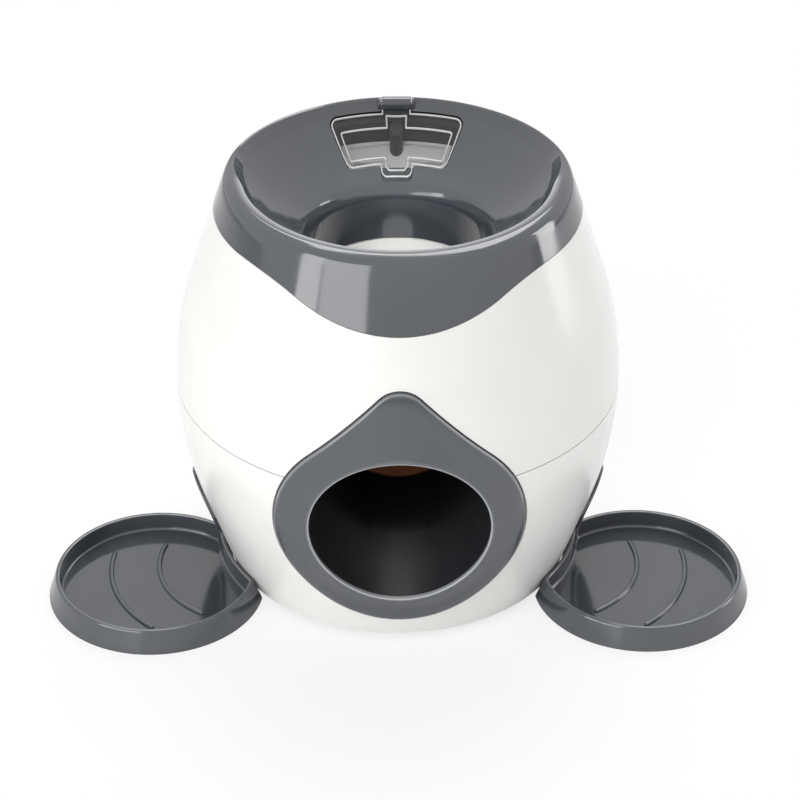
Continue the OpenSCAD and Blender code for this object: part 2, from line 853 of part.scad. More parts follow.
module clear_lid() {
    tab_half = asin(knuckle_w / (throat_r + 6));
    color("lightsteelblue", 0.5)
        difference() {
            union() {
                back_sector(lid_half, sloped(lid_in_r, lid_out_r, lid_t, 0));
                back_sector(lid_half - 3.5, sloped(lid_in_r + 3, lid_out_r - 3, lid_t / 2, -pane_proud));
                back_sector(tab_half, [[throat_r + 2, slope_a - 6.2], [lid_in_r + 0.5, slope_a - 1.3],
                    [lid_in_r + 0.5, slope_a + 0.3], [throat_r + 2, slope_a - 4.6]]);
                translate([-knuckle_w, hinge_y, hinge_z])
                    rotate([0, 90, 0])
                        cylinder(r = knuckle_r, h = 2 * knuckle_w);
                translate([-knuckle_w, 0, 0])
                    rotate([90, 0, 90])
                        linear_extrude(2 * knuckle_w)
                            polygon([[lid_out_r - 2.2, slope_b - 3], [lid_out_r - 2.2, slope_b - 1.6],
                                [lid_out_r - 0.5, hinge_z - 1.4], [hinge_y, hinge_z],
                                [hinge_y, hinge_z - knuckle_r + 0.1], [lid_out_r, hinge_z - knuckle_r],
                                [lid_out_r, slope_b - lid_t]]);
            }
            translate([-far / 2, hinge_y, hinge_z])
                rotate([0, 90, 0])
                    cylinder(r = pin_r + run, h = far);
        }
}

// Flap that hangs across the ball's way
module trigger_flap() {
    color("chocolate")
        translate([0, shaft_y, shaft_z])
            difference() {
                union() {
                    rotate([-flap_angle, 0, 0])
                        translate([0, flap_t / 2, 0])
                            rotate([90, 0, 0])
                                linear_extrude(flap_t) {
                                    translate([-knuckle_w + 0.6, flap_foot_r - flap_len])
                                        square([2 * knuckle_w - 1.2, flap_len - flap_foot_r]);
                                    translate([0, flap_foot_r - flap_len])
                                        circle(flap_foot_r);
                                }
                    translate([-knuckle_w + 0.4, 0, 0])
                        rotate([0, 90, 0])
                            cylinder(r = hub_r, h = 2 * knuckle_w - 0.8);
                }
                translate([-far / 2, 0, 0])
                    rotate([0, 90, 0])
                        cylinder(r = shaft_r + run / 2, h = far);
            }
}

module rocker_shaft() {
    color("silver")
        translate([0, shaft_y, shaft_z])
            rotate([0, 90, 0])
                difference() {
                    translate([0, 0, -shaft_half])
                        cylinder(r = shaft_r, h = 2 * shaft_half);
                    for (side = [-1, 1])
                        translate([0, 0, side * (clip_x + clip_t / 2) - clip_t / 2 - 0.05])
                            difference() {
                                cylinder(r = shaft_r + 1, h = clip_t + 0.1);
                                translate([0, 0, -1])
                                    cylinder(r = shaft_r - 0.5, h = clip_t + 3);
                            }
                }
}

// Part of a drum round the shaft, from one angle to another, counted from straight up to the back
module gate_sector(from, to, r0, r1, x0, w) {
    rotate([0, 90, 0])
        rotate([0, 0, 180 - to])
            rotate_extrude(angle = to - from)
                translate([r0, x0])
                    square([r1 - r0, w]);
}

module portion_gate(side) {
    color("chocolate")
        translate([0, shaft_y, shaft_z])
            scale([side, 1, 1])
                difference() {
                    union() {
                        gate_sector(gate_from, gate_to, gate_r - gate_t, gate_r, gate_x, gate_w);
                        for (x = [gate_x, gate_x + gate_w - cheek_t])
                            gate_sector(gate_from, gate_to, shaft_r + 1, gate_r, x, cheek_t);
                        translate([gate_x, 0, 0])
                            rotate([0, 90, 0])
                                cylinder(r = hub_r, h = gate_w);
                    }
                    gate_sector(window_from, window_to, gate_r - gate_t - 1, gate_r + 1, spout_x, spout_w);
                    translate([-far / 2, 0, 0])
                        rotate([0, 90, 0])
                            cylinder(r = shaft_r + run / 2, h = far);
                }
}

module portion_gate_left() {
    portion_gate(-1);
}

module portion_gate_right() {
    portion_gate(1);
}

module shaft_clips() {
    color("silver")
        for (side = [-1, 1])
            scale([side, 1, 1])
                translate([clip_x, shaft_y, shaft_z])
                    rotate([0, 90, 0])
                        difference() {
                            cylinder(r = shaft_r + 2.2, h = clip_t);
                            translate([0, 0, -1])
                                cylinder(r = shaft_r - 0.5 + run / 2, h = clip_t + 2);
                            translate([-1.2, 0, -1])
                                cube([2.4, 10, clip_t + 2]);
                        }
}

// A round tray cut hollow where it meets the body, with a tab that slides under the body's edge
module tray(side) {
    deep = tray_h - tray_wall;
    in_r = tray_rim_r - tray_wall;
    hollow_r = barrel_r(tray_h) + tray_gap + tray_wall;
    color("slategray")
        rotate([0, 0, side * tray_angle]) {
            difference() {
                translate([0, -tray_reach, 0])
                    cylinder(r1 = tray_foot_r, r2 = tray_rim_r, h = tray_h);
                barrel_solid(-1, tray_h + 1, tray_gap);
                difference() {
                    translate([0, -tray_reach, tray_wall])
                        cylinder(r1 = in_r - tray_lean, r2 = in_r + tray_lean / deep, h = deep + 1);
                    cylinder(r1 = hollow_r + hollow_lean * tray_h / deep, r2 = hollow_r, h = tray_h);
                    translate([0, 0, tray_h - 0.01])
                        cylinder(r = hollow_r, h = 2);
                }
            }
            intersection() {
                translate([0, -tray_reach, tray_wall / 2])
                    cylinder(r = in_r - tray_lean + 1, h = tray_wall / 2 + rib_h);
                for (at = rib_at)
                    difference() {
                        cylinder(r = tray_reach + at + rib_w / 2, h = tray_h);
                        translate([0, 0, -1])
                            cylinder(r = tray_reach + at - rib_w / 2, h = far);
                    }
            }
            translate([-tab_w / 2, -hollow_r, 0.6])
                cube([tab_w, tab_len, 1.6]);
        }
}

module tray_left() {
    tray(-1);
}

module tray_right() {
    tray(1);
}

base_plate();
rubber_feet();
base_screws();
lower_shell();
upper_shell();
funnel_bowl();
front_bezel();
side_bezel_left();
side_bezel_right();
ball_tunnel();
tunnel_cover();
drop_tube();
hopper_bin();
hopper_floor();
hopper_post();
treat_chute_left();
treat_chute_right();
shaft_bushes();
return_spring();
lid_hinge_pin();
clear_lid();
trigger_flap();
rocker_shaft();
portion_gate_left();
portion_gate_right();
shaft_clips();
tray_left();
tray_right();
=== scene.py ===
# %% [markdown]
# This lesson dresses a treat-giving ball machine: a white barrel with a grey funnel on top, a clear
# lid over the treats, a drop-shaped frame round the ball's way out and two grey trays on the floor.
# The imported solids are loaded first. They fix where everything is. Most of what the eye sees is then
# made again as smooth surfaces, worked out with numpy, and the hidden mechanism keeps its solids.

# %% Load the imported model
import json
import math

import bpy
import numpy as np
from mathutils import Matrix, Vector


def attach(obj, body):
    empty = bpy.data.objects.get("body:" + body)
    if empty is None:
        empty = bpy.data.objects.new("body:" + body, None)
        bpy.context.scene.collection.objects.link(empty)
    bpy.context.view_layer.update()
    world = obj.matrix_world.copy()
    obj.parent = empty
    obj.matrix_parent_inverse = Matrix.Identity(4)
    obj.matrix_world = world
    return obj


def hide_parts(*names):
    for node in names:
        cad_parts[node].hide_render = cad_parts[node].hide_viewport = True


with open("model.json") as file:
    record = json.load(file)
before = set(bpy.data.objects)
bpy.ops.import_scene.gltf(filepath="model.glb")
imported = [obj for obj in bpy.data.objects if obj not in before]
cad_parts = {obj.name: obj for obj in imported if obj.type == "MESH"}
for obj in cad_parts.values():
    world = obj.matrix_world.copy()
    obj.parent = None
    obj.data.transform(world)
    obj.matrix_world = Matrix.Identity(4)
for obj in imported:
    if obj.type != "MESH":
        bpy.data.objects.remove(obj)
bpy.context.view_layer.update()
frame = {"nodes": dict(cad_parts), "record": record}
nodes = frame["nodes"]
MM = 0.001
print("solids loaded:", len(nodes))

# %% [markdown]
# Every new piece is a grid of points or a few grids that meet. One helper makes the faces of a grid,
# and one joins several grids: points that coincide become one, so that shading and walls run through,
# and faces that shrank to a triangle at a pole or a corner are kept as triangles. Each grid is told a
# point that it faces away from, such as one inside the barrel, and turns its faces round if they point
# the other way.

# %% Grids
# Points are compared in hundredths of a millimetre, shifted to keep round numbers off the dividing line
WELD_PER_MM, WELD_SHIFT = 100, 0.137


def grid_faces(rows, cols, wrap_rows=False, wrap_cols=False):
    """Corner numbers of the quads of a grid counted row by row; a wrapped side joins last to first."""
    row = np.arange(rows if wrap_rows else rows - 1)[:, None]
    col = np.arange(cols if wrap_cols else cols - 1)[None, :]
    next_row = (row + 1) % rows
    next_col = (col + 1) % cols
    corners = [row * cols + col, row * cols + next_col, next_row * cols + next_col, next_row * cols + col]
    return np.stack(corners, axis=-1).reshape(-1, 4)


def patch(points, away, wrap_rows=False, wrap_cols=False, keep=None):
    """Points and quads of a grid, rows x columns x 3, that faces away from a point.

    Keep, where it is given, says for each quad whether it stays.
    """
    rows, cols = points.shape[:2]
    quads = grid_faces(rows, cols, wrap_rows, wrap_cols)
    if keep is not None:
        quads = quads[keep.reshape(-1)]
    points = points.reshape(-1, 3)
    a, b, c, d = (points[quads[:, k]] for k in range(4))
    facing = np.cross(c - a, d - b)
    if np.sum(facing * (a + b + c + d - 4 * np.asarray(away, float))) < 0:
        quads = quads[:, ::-1]
    return points, quads


def weld(patches):
    """Patches as one list of points and faces: points within a hundredth of a millimetre are one."""
    starts = np.cumsum([0] + [len(points) for points, quads in patches[:-1]])
    points = np.concatenate([points for points, quads in patches])
    quads = np.concatenate([quads + start for (_, quads), start in zip(patches, starts)])
    keys = np.round(points * WELD_PER_MM + WELD_SHIFT).astype(np.int64)
    _, first, index = np.unique(keys, axis=0, return_index=True, return_inverse=True)
    quads = index.reshape(-1)[quads]
    same = quads == np.roll(quads, -1, axis=1)
    lost = same.sum(axis=1)
    triangles = quads[lost == 1][~same[lost == 1]].reshape(-1, 3)
    return points[first], quads[lost == 0], triangles


print("quads of a tube of 3 rings with 8 points each:", len(grid_faces(3, 8, wrap_cols=True)))

# %% [markdown]
# Each mesh gets its finish, the body that it moves with and its material slot in one place. Moulded
# parts are mostly thin sheets: one surface is drawn, and Solidify gives it a wall on the inside.
# Shading is smooth, apart from sharp bends and the edges where a sheet ends.

# %% Meshes and walls
def put_mesh(name, patches, material, body, sharp=35, painted_edge_highlight=None):
    """A mesh object from patches in millimetres, with its finish, riding on a body.

    Edges where the sheet ends shade sharp. The last argument gives each point its share of a painted
    highlight: a lighter colour mixed into the edges.
    """
    points, quads, triangles = weld(patches)
    mesh = bpy.data.meshes.new(name)
    mesh.from_pydata((points * MM).tolist(), [], quads.tolist() + triangles.tolist())
    mesh.update()
    mesh.shade_smooth()
    mesh.set_sharp_from_angle(angle=math.radians(sharp))
    edge_of_corner = np.zeros(len(mesh.loops), dtype=np.int32)
    mesh.loops.foreach_get("edge_index", edge_of_corner)
    is_sharp = np.zeros(len(mesh.edges), dtype=bool)
    mesh.edges.foreach_get("use_edge_sharp", is_sharp)
    is_open = np.bincount(edge_of_corner, minlength=len(mesh.edges)) == 1
    mesh.edges.foreach_set("use_edge_sharp", is_sharp | is_open)
    # Painted highlight: each point's share of the lighter edge colour is stored for the finish to mix in
    if painted_edge_highlight is not None:
        share = mesh.attributes.new("painted_edge_highlight", "FLOAT", "POINT")
        share.data.foreach_set("value", painted_edge_highlight(points).astype(np.float32))
    mesh.materials.append(material)
    piece = bpy.data.objects.new(name, mesh)
    bpy.context.scene.collection.objects.link(piece)
    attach(piece, body)
    print(name, "has", len(points), "points and", len(quads) + len(triangles), "faces")
    return piece


def give_wall(piece, thickness):
    """Wall of a moulded sheet: Solidify thickens it inwards."""
    wall = piece.modifiers.new("wall", "SOLIDIFY")
    wall.thickness = thickness * MM
    wall.offset = -1
    wall.use_even_offset = False


def near(distance, width):
    """A smooth peak: 1 where the distance is 0, and almost nothing two widths away."""
    return np.exp(-(distance / width) ** 2)


print("the peak one width away:", round(float(near(1.0, 1.0)), 2))

# %% [markdown]
# Profiles are written as a few corners, as on a drawing, and each corner is then rounded by a short
# curve. Two extra points just outside the curve keep the flat parts flat when the shading is smooth.

# %% Rounded profiles and smooth steps
# The extra points lie this many times as far from the corner as the curve's ends
LEAD = 1.35


def rounded(corners, cut, steps=6):
    """A polyline whose inner corners become quadratic curves that start and end cut before and after."""
    p = np.asarray(corners, float)
    cut = np.broadcast_to(np.asarray(cut, float), len(p) - 2)[:, None]
    before = p[:-2] - p[1:-1]
    after = p[2:] - p[1:-1]
    before = before / np.linalg.norm(before, axis=1)[:, None]
    after = after / np.linalg.norm(after, axis=1)[:, None]
    corner = p[1:-1][:, None]
    start = (p[1:-1] + before * cut)[:, None]
    end = (p[1:-1] + after * cut)[:, None]
    t = np.linspace(0, 1, steps)[None, :, None]
    curve = (1 - t) ** 2 * start + 2 * t * (1 - t) * corner + t ** 2 * end
    lead_in = (p[1:-1] + before * cut * LEAD)[:, None]
    lead_out = (p[1:-1] + after * cut * LEAD)[:, None]
    body = np.concatenate([lead_in, curve, lead_out], axis=1).reshape(-1, p.shape[1])
    return np.concatenate([p[:1], body, p[-1:]])


def smooth(t):
    """Rises from 0 to 1 as t goes from 0 to 1, level at both ends."""
    t = np.clip(t, 0, 1)
    return t * t * (3 - 2 * t)


def turned(points, degrees):
    """Points turned about the upright axis, counted from the front towards the right."""
    a = math.radians(degrees)
    x, y, z = points[..., 0], points[..., 1], points[..., 2]
    return np.stack([x * math.cos(a) - y * math.sin(a), x * math.sin(a) + y * math.cos(a), z], axis=-1)


print("points of one rounded corner:", len(rounded([(0, 0), (1, 0), (1, 1)], 0.3)) - 2)

# %% [markdown]
# All finishes are moulded plastic, apart from a few steel and rubber parts. Real moulded plastic is
# not one flat colour: its gloss varies a little over the surface, and the skin has a faint ripple.
# Both come from noise on Object coordinates, which are metres here, so a scale of 40 is a pattern of
# about 25 mm. Steady numbers sit directly on the shader's sockets. Sharp edges of a gloss moulding
# catch the lamps as thin bright lines, and these are painted on as a highlight: a lighter colour where an
# attribute of the points says.

# %% Noise and mixtures
# Sockets of a Mix node that is set to colours, by number because their names repeat
MIX_SHARE, MIX_LOW, MIX_HIGH, MIX_COLOUR = 0, 6, 7, 2
# The middle of a noise, where nearly all of it lies
NOISE_LOW, NOISE_HIGH = 0.3, 0.7


def feed(tree, place, value):
    """Gives a socket its value: another socket is linked, and a plain number or colour is set."""
    if isinstance(value, bpy.types.NodeSocket):
        tree.links.new(value, place)
    else:
        place.default_value = value


def noise(tree, scale, detail=2.0, stretch=(1, 1, 1)):
    """Noise on Object coordinates, stretched along the axes where stretch isn't 1."""
    place = tree.nodes.new("ShaderNodeTexCoord")
    mapping = tree.nodes.new("ShaderNodeMapping")
    mapping.inputs["Scale"].default_value = stretch
    texture = tree.nodes.new("ShaderNodeTexNoise")
    texture.inputs["Scale"].default_value = scale
    texture.inputs["Detail"].default_value = detail
    tree.links.new(place.outputs["Object"], mapping.inputs["Vector"])
    tree.links.new(mapping.outputs["Vector"], texture.inputs["Vector"])
    return texture.outputs["Fac"]


def between(tree, value, low, high):
    """The middle of a noise spread over the range from low to high."""
    spread = tree.nodes.new("ShaderNodeMapRange")
    spread.inputs["From Min"].default_value = NOISE_LOW
    spread.inputs["From Max"].default_value = NOISE_HIGH
    spread.inputs["To Min"].default_value = low
    spread.inputs["To Max"].default_value = high
    tree.links.new(value, spread.inputs["Value"])
    return spread.outputs["Result"]


def mixed(tree, share, low, high):
    """A colour between low, where the share is 0, and high, where it is 1."""
    mix = tree.nodes.new("ShaderNodeMix")
    mix.data_type = "RGBA"
    feed(tree, mix.inputs[MIX_SHARE], share)
    feed(tree, mix.inputs[MIX_LOW], low)
    feed(tree, mix.inputs[MIX_HIGH], high)
    return mix.outputs[MIX_COLOUR]


print("a noise is spread from", NOISE_LOW, "to", NOISE_HIGH)

# %% [markdown]
# One recipe then makes every finish from a few numbers. White, slate and dark grey are the mouldings,
# brown is the rocker, pale satin the hopper's floor. The lid is dark and mostly see-through, and the
# pale beads on its edges are a painted highlight with a finish of their own.

# %% Moulded finishes
# Scales of the patterns, per metre: shade in patches of 30 mm, rubbing of 6 mm, skin of 2 mm
SHADE_SCALE, RUB_SCALE, SKIN_SCALE = 35, 160, 420
RUB_DETAIL, RUB_STRETCH = 4, (1, 0.25, 1)
SKIN_DETAIL, SKIN_STRENGTH = 1, 0.35
PLASTIC_IOR = 1.5


def moulded(name, colour, gloss, ripple, vary=0.04, scuff=0.05, edge=None, sockets=None):
    """Plastic of a colour whose shade shifts by vary, with a painted highlight, a lighter colour, on its
    edges if given.

    Its roughness runs from gloss to gloss plus scuff, and its skin ripples by so many millimetres.
    Sockets sets further sockets of the shader by name.
    """
    material = bpy.data.materials.new(name)
    material.use_nodes = True
    tree = material.node_tree
    shader = tree.nodes["Principled BSDF"]
    darker = [c * (1 - vary) for c in colour] + [1]
    lighter = [min(1, c * (1 + vary)) for c in colour] + [1]
    base = mixed(tree, between(tree, noise(tree, SHADE_SCALE), 0, 1), darker, lighter)
    # Painted highlight: where the points say, the base colour turns to the lighter edge colour
    if edge is not None:
        share = tree.nodes.new("ShaderNodeAttribute")
        share.attribute_name = "painted_edge_highlight"
        base = mixed(tree, share.outputs["Fac"], base, edge + (1,))
    tree.links.new(base, shader.inputs["Base Color"])
    rub = noise(tree, RUB_SCALE, RUB_DETAIL, RUB_STRETCH)
    tree.links.new(between(tree, rub, gloss, gloss + scuff), shader.inputs["Roughness"])
    bump = tree.nodes.new("ShaderNodeBump")
    bump.inputs["Strength"].default_value = SKIN_STRENGTH
    bump.inputs["Distance"].default_value = ripple * MM
    tree.links.new(noise(tree, SKIN_SCALE, SKIN_DETAIL), bump.inputs["Height"])
    tree.links.new(bump.outputs["Normal"], shader.inputs["Normal"])
    shader.inputs["IOR"].default_value = PLASTIC_IOR
    for socket, value in (sockets or {}).items():
        shader.inputs[socket].default_value = value
    return material


white_gloss = moulded("white_gloss", (0.83, 0.825, 0.805), gloss=0.2, ripple=0.006, vary=0.012, scuff=0.06)
# Slate's edge colour is a painted highlight on its sharp edges
slate_gloss = moulded("slate_gloss", (0.052, 0.058, 0.068), gloss=0.08, ripple=0.004, scuff=0.04,
                      edge=(0.62, 0.63, 0.65), sockets={"Specular IOR Level": 1.0})
dark_satin = moulded("dark_satin", (0.02, 0.022, 0.025), gloss=0.32, ripple=0.01, vary=0.08, scuff=0.08)
pale_satin = moulded("pale_satin", (0.82, 0.815, 0.79), gloss=0.35, ripple=0.02)
brown_satin = moulded("brown_satin", (0.11, 0.036, 0.013), gloss=0.32, ripple=0.015)
pale_nylon = moulded("pale_nylon", (0.7, 0.67, 0.58), gloss=0.45, ripple=0.02)
black_rubber = moulded("black_rubber", (0.02, 0.02, 0.02), gloss=0.7, ripple=0.08, vary=0.15, scuff=0.15)
smoky_clear = moulded("smoky_clear", (0.14, 0.145, 0.15), gloss=0.03, ripple=0, vary=0.02, scuff=0.01,
                      sockets={"Alpha": 0.17})
painted_glint_edge = moulded("painted_glint_edge", (0.6, 0.61, 0.6), gloss=0.12, ripple=0)
bright_steel = moulded("bright_steel", (0.62, 0.62, 0.61), gloss=0.24, ripple=0.004, vary=0.06, scuff=0.14,
                       sockets={"Metallic": 1.0})
print("finishes made:", len(bpy.data.materials))

# %% [markdown]
# The solids that stay are the ones inside: tunnel, tube, hopper, chutes, rocker and base. They keep
# their shape and get the finishes above.

# %% Finishes of the solids that stay
finish_of = {
    "white_plastic": white_gloss,
    "grey_plastic": slate_gloss,
    "inner_plastic": dark_satin,
    "clear_plastic": smoky_clear,
    "brown_plastic": brown_satin,
    "nylon": pale_nylon,
    "steel": bright_steel,
    "foot_rubber": black_rubber,
}
for part in frame["record"]["subparts"]:
    for place in nodes[part["node"]].material_slots:
        place.material = finish_of[part["material_slot"]]
for place in nodes["hopper_floor"].material_slots:
    place.material = pale_satin

# %% [markdown]
# The barrel's side is an arc of 157 mm radius that runs on straight above and below. The solids have
# it in seven flat bands, which a gloss would show, so the shells are made again on the true curve.
# A lathe could turn the barrel, but the drop-shaped holes have to be cut out of it. Here a sheet is
# laid out between the hole's outline and the sheet's border instead: each point of the border is
# joined to the point of the outline that lies in the same direction from the hole's centre.

# %% The barrel and the drop
BELLY_R, BELLY_Z, BULGE_R, ARC_HALF = 93.0, 87.0, 157.0, 50.0
END_SLOPE = ARC_HALF / math.sqrt(BULGE_R ** 2 - ARC_HALF ** 2)


def barrel_radius(z):
    """Radius at height z: an arc about the belly, and straight on from where the arc ends."""
    h = np.asarray(z, float) - BELLY_Z
    c = np.clip(h, -ARC_HALF, ARC_HALF)
    return BELLY_R - BULGE_R + np.sqrt(BULGE_R ** 2 - c ** 2) - (np.abs(h) - np.abs(c)) * END_SLOPE


def on_barrel(flat):
    """Points of a flat front view, x and z, on the front of the barrel."""
    x, z = flat[..., 0], flat[..., 1]
    return np.stack([x, -np.sqrt(barrel_radius(z) ** 2 - x ** 2), z], axis=-1)


def drop_radius(phi, big, small, rise):
    """Outline of a drop about its big circle's centre: circle, tangent line, then the tip's circle."""
    a = np.abs((phi + np.pi) % (2 * np.pi) - np.pi)
    turn = math.acos((big - small) / rise)
    tip = math.atan2(small * math.sin(turn), rise + small * math.cos(turn))
    side = big / np.cos(np.clip(turn - a, 0, None))
    top = rise * np.cos(a) + np.sqrt(np.clip(small ** 2 - (rise * np.sin(a)) ** 2, 0, None))
    return np.where(a < tip, top, side)


def ring_between(centre, outline, border, rows):
    """Rows of flat points from an outline about a centre to a border, along straight lines."""
    centre = np.asarray(centre, float)
    away = border - centre
    phi = np.arctan2(away[:, 0], away[:, 1])
    reach = np.minimum(outline(phi), np.linalg.norm(away, axis=1))
    inner = centre + reach[:, None] * np.stack([np.sin(phi), np.cos(phi)], axis=1)
    t = np.linspace(0, 1, rows)[:, None, None]
    return inner + t * (border - inner)


# Drop: centre, radius of the big circle and of the tip's, and how far the tip's centre is above the other.
# Frame: radius of its hole, how proud of the shell it stands, rounding of its border and its lip, hollow
# of its face, and how far its border and its lip reach in. Collar: where it starts and ends.
FRONT = {
    "centre": (0.0, 63.8), "big": 50.9, "small": 11.5, "rise": 55.0,
    "hole": 36.7, "proud": 1.2, "border": 0.9, "lip": 0.8, "dish": 0.35, "border_back": 4.2, "lip_back": 1.0,
    "collar_start": 1.05, "collar_end": -36.0,
}
SIDE = {
    "centre": (0.0, 30.0), "big": 15.0, "small": 4.0, "rise": 11.5,
    "hole": 12.3, "proud": 1.5, "border": 0.6, "lip": 0.5, "dish": 0.1, "border_back": 3.6, "lip_back": 0.8,
    "collar_start": 0.85, "collar_end": -70.5,
}
OUTLET_ANGLE = 80.0


def drop_outline(form, grow):
    """The outline of a drop as a function of direction, moved out by grow."""
    return lambda phi: drop_radius(phi, form["big"] + grow, form["small"] + grow, form["rise"])


print("barrel radius at the belly and the floor:", barrel_radius(BELLY_Z), barrel_radius(0))

# %% [markdown]
# The funnel's skirt dips at the front in two arcs that touch: a wide one round the bottom and a
# tighter one on either side that runs out level. The upper shell's top edge follows it.

# %% The skirt's edge
SKIRT_FRONT, SKIRT_SIDE, DIP_W, DIP_SPLIT = 151.3, 166.3, 62.0, 0.664


def skirt_edge(x):
    """Height of the skirt's edge at x: a low arc, a high arc that touches it, then level."""
    rise = SKIRT_SIDE - SKIRT_FRONT
    both = (DIP_W ** 2 + rise ** 2) / (2 * rise)
    low_r = DIP_SPLIT * both
    high_r = both - low_r
    a = np.minimum(np.abs(x), DIP_W)
    low = SKIRT_FRONT + low_r - np.sqrt(np.clip(low_r ** 2 - a ** 2, 0, None))
    high = SKIRT_SIDE - high_r + np.sqrt(np.clip(high_r ** 2 - (DIP_W - a) ** 2, 0, None))
    return np.where(a < DIP_W * DIP_SPLIT, low, high)


print("skirt's edge at the front, halfway and at the side:", skirt_edge(np.array([0, DIP_W / 2, DIP_W])))

# %% [markdown]
# Each shell has one sheet round the front drop, and the lower one has a sheet round each side outlet.
# Plain sheets fill the rest. Neighbours share the heights of their rows, so their borders match.

# %% Rows and borders of the shells
SEAM_Z, SHELL_FOOT, SHELL_WALL = 86.7, 3.0, 2.5
SEAM_GAP, SKIRT_GAP, CUT_GAP = 0.25, 0.25, 0.6
# Half the width of the sheets round the front drop and round an outlet
FRONT_W, SIDE_W = 62.0, 24.0
CORE = (0, 0, BELLY_Z)


def along(x0, z0, x1, z1, count):
    """Points of a straight border, without its last one."""
    t = np.linspace(0, 1, count, endpoint=False)[:, None]
    return np.array([[x0, z0]]) + t * np.array([[x1 - x0, z1 - z0]])


def notch_x(z):
    """Half the width of the front drop's cut at height z, on its round part."""
    return math.sqrt((FRONT["big"] + CUT_GAP) ** 2 - (z - FRONT["centre"][1]) ** 2)


lower_rows = np.linspace(SHELL_FOOT, SEAM_Z - SEAM_GAP, 42)
UPPER_FOOT, UPPER_TOP = SEAM_Z + SEAM_GAP, SKIRT_SIDE - SKIRT_GAP
# The straight line from the drop's centre through the notch's corner meets the sheet's side here
corner_row = FRONT["centre"][1] + FRONT_W * (UPPER_FOOT - FRONT["centre"][1]) / notch_x(UPPER_FOOT)
upper_rows = np.sort(np.append(np.linspace(UPPER_FOOT, UPPER_TOP, 40), corner_row))
print("rows of the lower and the upper shell:", len(lower_rows), len(upper_rows))

# %% [markdown]
# The border of a sheet round an opening is drawn in the flat front view, side by side as straight
# lines, and the sheet is then laid on the barrel. The lower front sheet is open at the top, where the
# drop runs on into the upper shell.

# %% Sheets round the openings
def lower_front():
    """Sheet of the lower shell round the front drop, open at the top where the drop goes on."""
    top, foot = lower_rows[-1], lower_rows[0]
    upright = np.full(len(lower_rows), FRONT_W)
    border = np.concatenate([
        along(notch_x(top), top, FRONT_W, top, 10),
        np.stack([upright, lower_rows[::-1]], axis=1)[:-1],
        along(FRONT_W, foot, -FRONT_W, foot, 80),
        np.stack([-upright, lower_rows], axis=1),
        along(-FRONT_W, top, -notch_x(top), top, 10)[1:],
        [[-notch_x(top), top]],
    ])
    return patch(on_barrel(ring_between(FRONT["centre"], drop_outline(FRONT, CUT_GAP), border, 14)), CORE)


def upper_front():
    """Sheet of the upper shell between the seam, the front drop's tip and the skirt's edge."""
    upright = np.full(len(upper_rows), FRONT_W)
    x = np.linspace(FRONT_W, -FRONT_W, 97)
    border = np.concatenate([
        np.stack([upright, upper_rows], axis=1)[:-1],
        np.stack([x, np.minimum(skirt_edge(x) - SKIRT_GAP, UPPER_TOP)], axis=1),
        np.stack([-upright, upper_rows[::-1]], axis=1)[1:],
    ])
    drop = drop_outline(FRONT, CUT_GAP)
    seam = UPPER_FOOT - FRONT["centre"][1]
    flat = ring_between(FRONT["centre"], lambda phi: np.maximum(drop(phi), seam / np.cos(phi)), border, 30)
    return patch(on_barrel(flat), CORE)


def lower_side(turn):
    """Sheet of the lower shell round a side outlet, closed all round."""
    top, foot = lower_rows[-1], lower_rows[0]
    upright = np.full(len(lower_rows), SIDE_W)
    border = np.concatenate([
        np.stack([upright, lower_rows[::-1]], axis=1)[:-1],
        along(SIDE_W, foot, -SIDE_W, foot, 40),
        np.stack([-upright, lower_rows], axis=1)[:-1],
        along(-SIDE_W, top, SIDE_W, top, 60),
    ])
    flat = ring_between(SIDE["centre"], drop_outline(SIDE, CUT_GAP), border, 12)
    return patch(turned(on_barrel(flat), turn), CORE, wrap_cols=True)


print("points of the sheet round an outlet:", len(lower_side(OUTLET_ANGLE)[0]))

# %% [markdown]
# Between these sheets the barrel is plain, so a grid of heights and angles will do. The sheets of a
# shell are joined into one mesh and get the wall of a moulding.

# %% White shells
def plain_sheet(rows, start, end, cols):
    """Sheet of the barrel between two angles from the front, each a function of the row's radius."""
    r = barrel_radius(rows)[:, None]
    t = np.linspace(0, 1, cols)[None, :]
    a = start(r) + t * (end(r) - start(r))
    return patch(np.stack([r * np.sin(a), -r * np.cos(a), rows[:, None] + 0 * a], axis=-1), CORE)


def front_limit(side):
    """Angle of the border of the front sheets."""
    return lambda r: side * np.arcsin(FRONT_W / r)


def outlet_limit(side, past):
    """Angle of the border of an outlet's sheet, before or past the outlet."""
    return lambda r: side * (math.radians(OUTLET_ANGLE) + past * np.arcsin(SIDE_W / r))


def a_turn_on(limit):
    """The same border a full turn further round."""
    return lambda r: 2 * np.pi + limit(r)


lower_patches = [lower_front(), lower_side(OUTLET_ANGLE), lower_side(-OUTLET_ANGLE)]
lower_patches += [plain_sheet(lower_rows, front_limit(s), outlet_limit(s, -1), 8) for s in (1, -1)]
lower_patches += [plain_sheet(lower_rows, outlet_limit(1, 1), a_turn_on(outlet_limit(-1, 1)), 90)]
lower_shell = put_mesh("lower_barrel", lower_patches, white_gloss, "housing")
give_wall(lower_shell, SHELL_WALL)
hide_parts("lower_shell")

upper_patches = [upper_front()]
upper_patches += [plain_sheet(upper_rows, front_limit(1), a_turn_on(front_limit(-1)), 130)]
upper_shell = put_mesh("upper_barrel", upper_patches, white_gloss, "housing")
give_wall(upper_shell, SHELL_WALL)
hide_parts("upper_shell")

